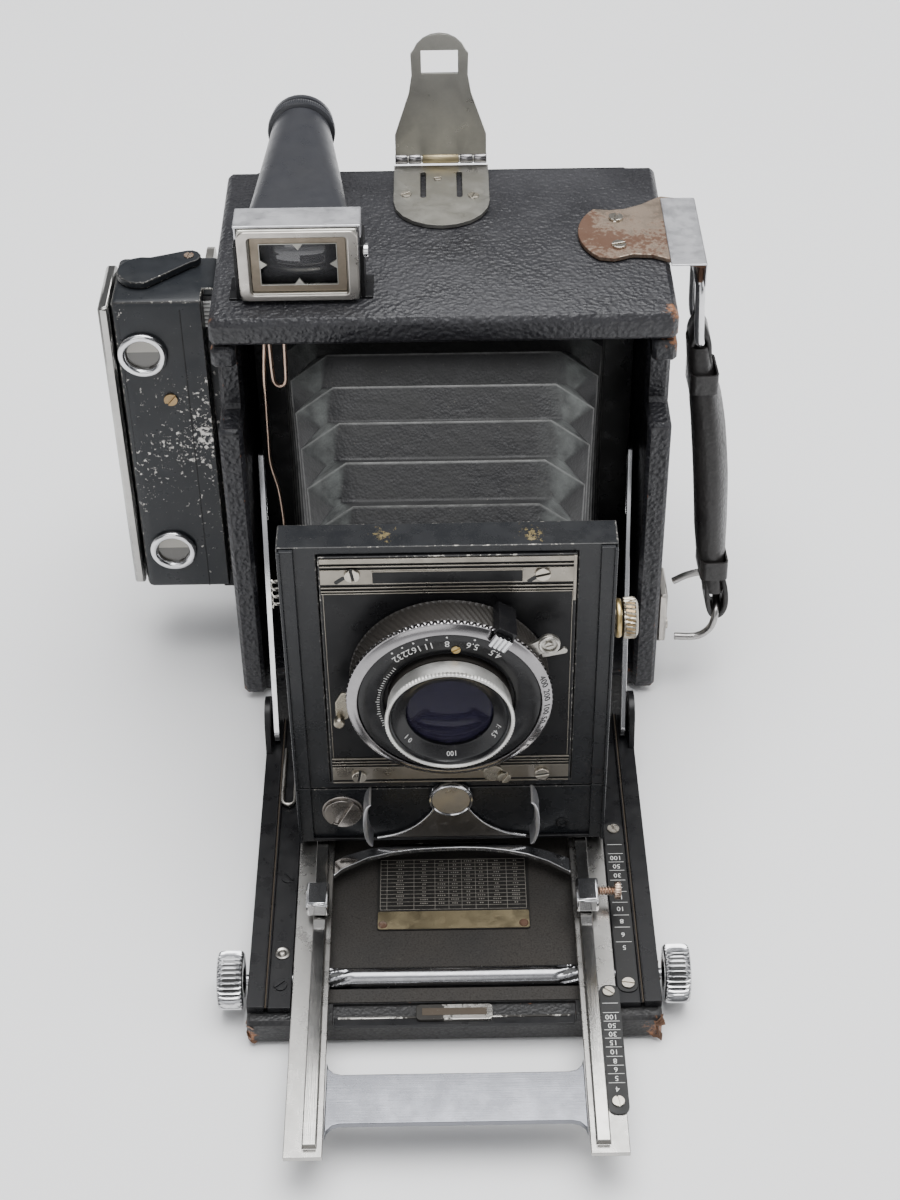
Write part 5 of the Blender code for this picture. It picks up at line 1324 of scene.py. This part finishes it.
def strap_rows():
    """Sections down the strap's middle line. Each station has its half width, half thickness and turn in degrees."""
    line = [
        ((77.6, -8.0, 114.5), 6.4, 3.0, 0),
        ((78.8, -10.0, 106.0), 7.0, 3.4, 6),
        ((80.8, -12.6, 96.0), 8.2, 4.1, 12),
        ((82.3, -15.5, 85.0), 8.6, 4.4, 14),
        ((83.6, -19.0, 70.0), 8.7, 4.5, 14),
        ((84.3, -22.3, 55.0), 8.6, 4.3, 14),
        ((84.9, -25.6, 43.0), 7.6, 3.8, 10),
        ((85.6, -28.6, 34.5), 6.4, 3.0, 4),
    ]
    middles = smooth_path([p for p, *_ in line], 7)
    rows = []
    for k, middle in enumerate(middles):
        share = k / (len(middles) - 1) * (len(line) - 1)
        first = min(int(share), len(line) - 2)
        part = share - first
        half_w, half_t, turn = (a + (b - a) * part for a, b in zip(line[first][1:], line[first + 1][1:]))
        c, s = math.cos(math.radians(turn)), math.sin(math.radians(turn))
        row = []
        for i in range(28):
            angle = 2 * math.pi * i / 28
            a = half_t * math.copysign(abs(math.cos(angle)) ** 0.55, math.cos(angle))
            b = half_w * math.copysign(abs(math.sin(angle)) ** 0.75, math.sin(angle))
            a -= 0.22 * half_t * (1 - (b / half_w) ** 2) * (1 if a < 0 else -0.6)
            row.append((middle.x + a * c + b * s, middle.y + b * c - a * s, middle.z))
        rows.append(row)
    return rows


def add_strap_loops(strap):
    """Doubled leather round the ring and the bail, each with its keeper."""
    top = [(76.4, -7.5, 104.0), (75.6, -7.5, 112.0), (75.7, -7.5, 116.0), (76.9, -7.5, 118.6), (79.0, -7.5, 118.6),
           (80.4, -7.5, 116.0), (80.9, -7.5, 111.0), (81.4, -8.5, 103.0)]
    low = [(83.0, -28.0, 39.0), (83.2, -29.6, 34.0), (83.7, -30.4, 29.0), (85.2, -30.6, 25.8), (87.6, -30.6, 25.6),
           (89.2, -30.4, 28.8), (89.1, -29.6, 34.0), (87.8, -28.0, 39.5)]
    flat = [(-1, -0.5), (-0.96, -1), (0.96, -1), (1, -0.5), (1, 0.5), (0.96, 1), (-0.96, 1), (-1, 0.5)]
    for path, half in ((top, 5.8), (low, 5.104)):
        strap.add(sweep(smooth_path(path, 6), [(a * half, b * 0.75) for a, b in flat]))
    for z, x, y, wide in ((103.0, 79.4, -10.8, 7.9), (42.0, 85.0, -26.0, 8.2)):
        ring = rounded((-4.4, -wide), (4.4, wide), 1.9, 4)
        inner = rounded((-3.8, -wide + 0.6), (3.8, wide - 0.6), 1.5, 4)
        strap.add(frame_ring(ring, inner, -3.2, 3.2), Matrix.Translation((x, y, z)) @ Matrix.Rotation(-0.12, 4, "X"))


def build_back():
    """The back's six screws, the hood's embossed border, its hinge knuckles and its latch."""
    low, high = span("back_frame")
    screws = Piece("back_screws")
    for x in (low.x + 4.6, high.x - 4.6):
        for z, turn in ((low.z + 7.0, 20), ((low.z + high.z) / 2, 75), (high.z - 7.0, 130)):
            screws.screw((x, high.y - 0.05, z), BACK, 1.9, turn, 0.5, slot=1)
    screws.make("root", NICKEL_SCREW, BLACK_PRINT_AND_SHADE, bevel=0.15, slot="nickel")
    low, high = span("hood_lid")
    half_w, half_h = (high.x - low.x) / 2, (high.z - low.z) / 2
    face = facing(((low.x + high.x) / 2, high.y, (low.z + high.z) / 2), BACK)
    border = Piece("hood_border")
    for inset in (4.0, 6.0):
        outer = rounded((-half_w + inset, -half_h + inset), (half_w - inset, half_h - inset), 2.0)
        inset += 0.7
        inner = rounded((-half_w + inset, -half_h + inset), (half_w - inset, half_h - inset), 1.4)
        border.add(frame_ring(outer, inner, -0.1, 0.25), face)
    border.make("hood_lid", LEATHER, bevel=0.1, slot="case_leather")
    hinge = joint_at("hood_open")
    knuckles = Piece("hood_knuckles")
    for middle in (-32.0, 32.0):
        for a, b in ((-7.0, -2.6), (-2.3, 2.3), (2.6, 7.0)):
            profile = [(0, a), (0.9, a), (1.0, a + 0.2), (1.0, b - 0.2), (0.9, b), (0, b)]
            knuckles.add(lathe(profile, 20), facing((middle, hinge.y - 0.2, hinge.z + 2.6), RIGHT))
    knuckles.make("focusing_panel", NICKEL, smooth=50, slot="nickel")
    latch = Piece("hood_latch")
    matrix = facing((0, high.y, low.z + 5.6), BACK)
    latch.add(prism(rounded((-6.0, -2.4), (6.0, 2.4), 1.2), 0.0, 0.7), matrix)
    latch.add(lathe([(0, 1.5), (1.6, 1.4), (2.0, 1.0), (2.0, 0.6), (0, 0.6)], 28), matrix)
    latch.make("hood_lid", NICKEL, bevel=0.12, slot="nickel")


def build_wall_knobs():
    """Screws in the winding key and the tension knob, and the tension knob's milled rim."""
    for name, node, turn in (("key", "winding_key", 25), ("tension", "tension_knob", 70)):
        low, high = span(node)
        screw = Piece(name + "_screw")
        screw.screw((low.x + 0.05, (low.y + high.y) / 2, (low.z + high.z) / 2), LEFT, 2.2, turn, 0.6, slot=1)
        screw.make(node, NICKEL_SCREW, BLACK_PRINT_AND_SHADE, bevel=0.15, slot="nickel")
    low, high = span("tension_knob")
    rim = [(5.9, 1.0), (6.2, 1.0), (6.75, 1.3), (6.75, 3.0), (6.75, 4.8), (6.2, 5.1), (5.9, 5.1), (5.9, 1.0)]
    matrix = facing((high.x, (low.y + high.y) / 2, (low.z + high.z) / 2), LEFT)
    milled = Piece("tension_rim").add(lathe(rim, flutes=44, depth=0.45, fluted=(2, 3, 4)), matrix)
    milled.make("tension_knob", NICKEL, smooth=50, slot="nickel")


def build_inner_wires():
    """Two thin wires down the inside of the left wall: a long one, and one that ends in a hook."""
    long_wire = [(-52.2, 131.7), (-53.0, 121.0), (-53.2, 111.7), (-53.4, 98.0), (-53.4, 88.0), (-51.6, 78.0),
                 (-50.8, 66.7), (-50.4, 48.0)]
    hook = [(-50.8, 131.7), (-50.6, 121.0), (-50.2, 117.4), (-48.6, 116.0), (-47.0, 117.2), (-46.6, 121.0),
            (-46.4, 131.7)]
    wires = Piece("inner_wires")
    for line, radius in ((long_wire, 0.55), (hook, 0.65)):
        path = smooth_path([(x, FACE + 8.0, z) for x, z in line], 5)
        wires.add(tube(path, radius, 8, first_side=(1, 0, 0)))
    wires.make("root", COPPER, smooth=60, slot="nickel")


# ---------------------------------------------------------------- stage


def set_floor():
    mesh = bpy.data.meshes.new("floor")
    shape = bmesh.new()
    bmesh.ops.create_grid(shape, x_segments=2, y_segments=2, size=14.0)
    shape.to_mesh(mesh)
    shape.free()
    floor = bpy.data.objects.new("floor", mesh)
    floor.location = (0, 0, -0.0002)
    look = Look("paper", (0.90, 0.90, 0.90), 0.9)
    look.feed("Base Color", look.mix(look.noise(900.0, 2.0), (0.89, 0.89, 0.895), (0.92, 0.92, 0.92)))
    mesh.materials.append(look.made)
    bpy.context.scene.collection.objects.link(floor)


def set_lamps():
    """A broad soft lamp overhead, and weaker ones in front and at the right, all turned towards the object."""
    lamps = (("overhead", (0.15, 0.15, 1.8), 1.6, 54.5), ("front", (-0.5, -1.7, 1.0), 1.2, 8.0),
             ("side", (1.5, -0.2, 0.9), 1.0, 5.0))
    for name, place, size, power in lamps:
        light = bpy.data.lights.new(name, "AREA")
        light.size = size
        light.energy = power
        lamp = bpy.data.objects.new(name, light)
        lamp.location = place
        lamp.rotation_euler = (Vector((0, -0.05, 0.06)) - Vector(place)).to_track_quat("-Z", "Y").to_euler()
        bpy.context.scene.collection.objects.link(lamp)


def set_world():
    """A studio room: pale near the floor, dim at eye level, bright overhead."""
    world = bpy.data.worlds.new("studio")
    world.use_nodes = True
    nodes, links = world.node_tree.nodes, world.node_tree.links
    toward = nodes.new("ShaderNodeTexCoord")
    split = nodes.new("ShaderNodeSeparateXYZ")
    ramp = nodes.new("ShaderNodeValToRGB")
    first, last = ramp.color_ramp.elements
    first.position, last.position = 0.12, 0.96
    first.color, last.color = (0.70, 0.70, 0.71, 1), (1.55, 1.57, 1.62, 1)
    for position, level in ((0.20, 0.13), (0.38, 0.16), (0.60, 0.26), (0.76, 0.42)):
        stop = ramp.color_ramp.elements.new(position)
        stop.color = (level, level * 1.02, level * 1.06, 1)
    links.new(toward.outputs["Generated"], split.inputs[0])
    links.new(split.outputs["Z"], ramp.inputs[0])
    links.new(ramp.outputs[0], nodes["Background"].inputs[0])
    nodes["Background"].inputs[1].default_value = 1.0
    bpy.context.scene.world = world


def set_camera():
    """The camera stands in front and above, where a fit to the photograph puts it."""
    pitch, yaw, roll = math.radians(40.370), math.radians(0.077), math.radians(-0.854)
    ahead = Vector((math.sin(yaw) * math.cos(pitch), math.cos(yaw) * math.cos(pitch), -math.sin(pitch)))
    flat_right = Vector((math.cos(yaw), -math.sin(yaw), 0.0))
    flat_up = flat_right.cross(ahead)
    right = math.cos(roll) * flat_right + math.sin(roll) * flat_up
    up = math.cos(roll) * flat_up - math.sin(roll) * flat_right
    data = bpy.data.cameras.new("camera")
    data.lens = 62.59
    data.sensor_width = 36.0
    data.clip_start = 0.01
    camera = bpy.data.objects.new("camera", data)
    place = Vector((0.0, -0.5447, 0.4672))
    camera.matrix_world = Matrix.Translation(place) @ Matrix((right, up, -ahead)).transposed().to_4x4()
    bpy.context.scene.collection.objects.link(camera)
    bpy.context.scene.camera = camera


set_camera()
dress_case()
build_bellows()
dress_bed()
build_tracks()
dress_standard()
build_board_trim()
build_shutter()
build_shutter_figures()
build_lens()
build_levers()
build_spring_plate()
build_flanges()
build_grips()
build_standard_details()
build_rise_knob()
dress_fittings()
build_catch()
build_bed_cover()
build_data_plate()
build_track_details()
build_rail_details()
build_focus_drive()
build_finder()
build_finder_front()
build_finder_shoes()
build_peep()
build_rangefinder()
build_rangefinder_details()
build_brackets()
build_handle()
build_inner_wires()
build_back()
build_wall_knobs()
set_floor()
set_lamps()
set_world()
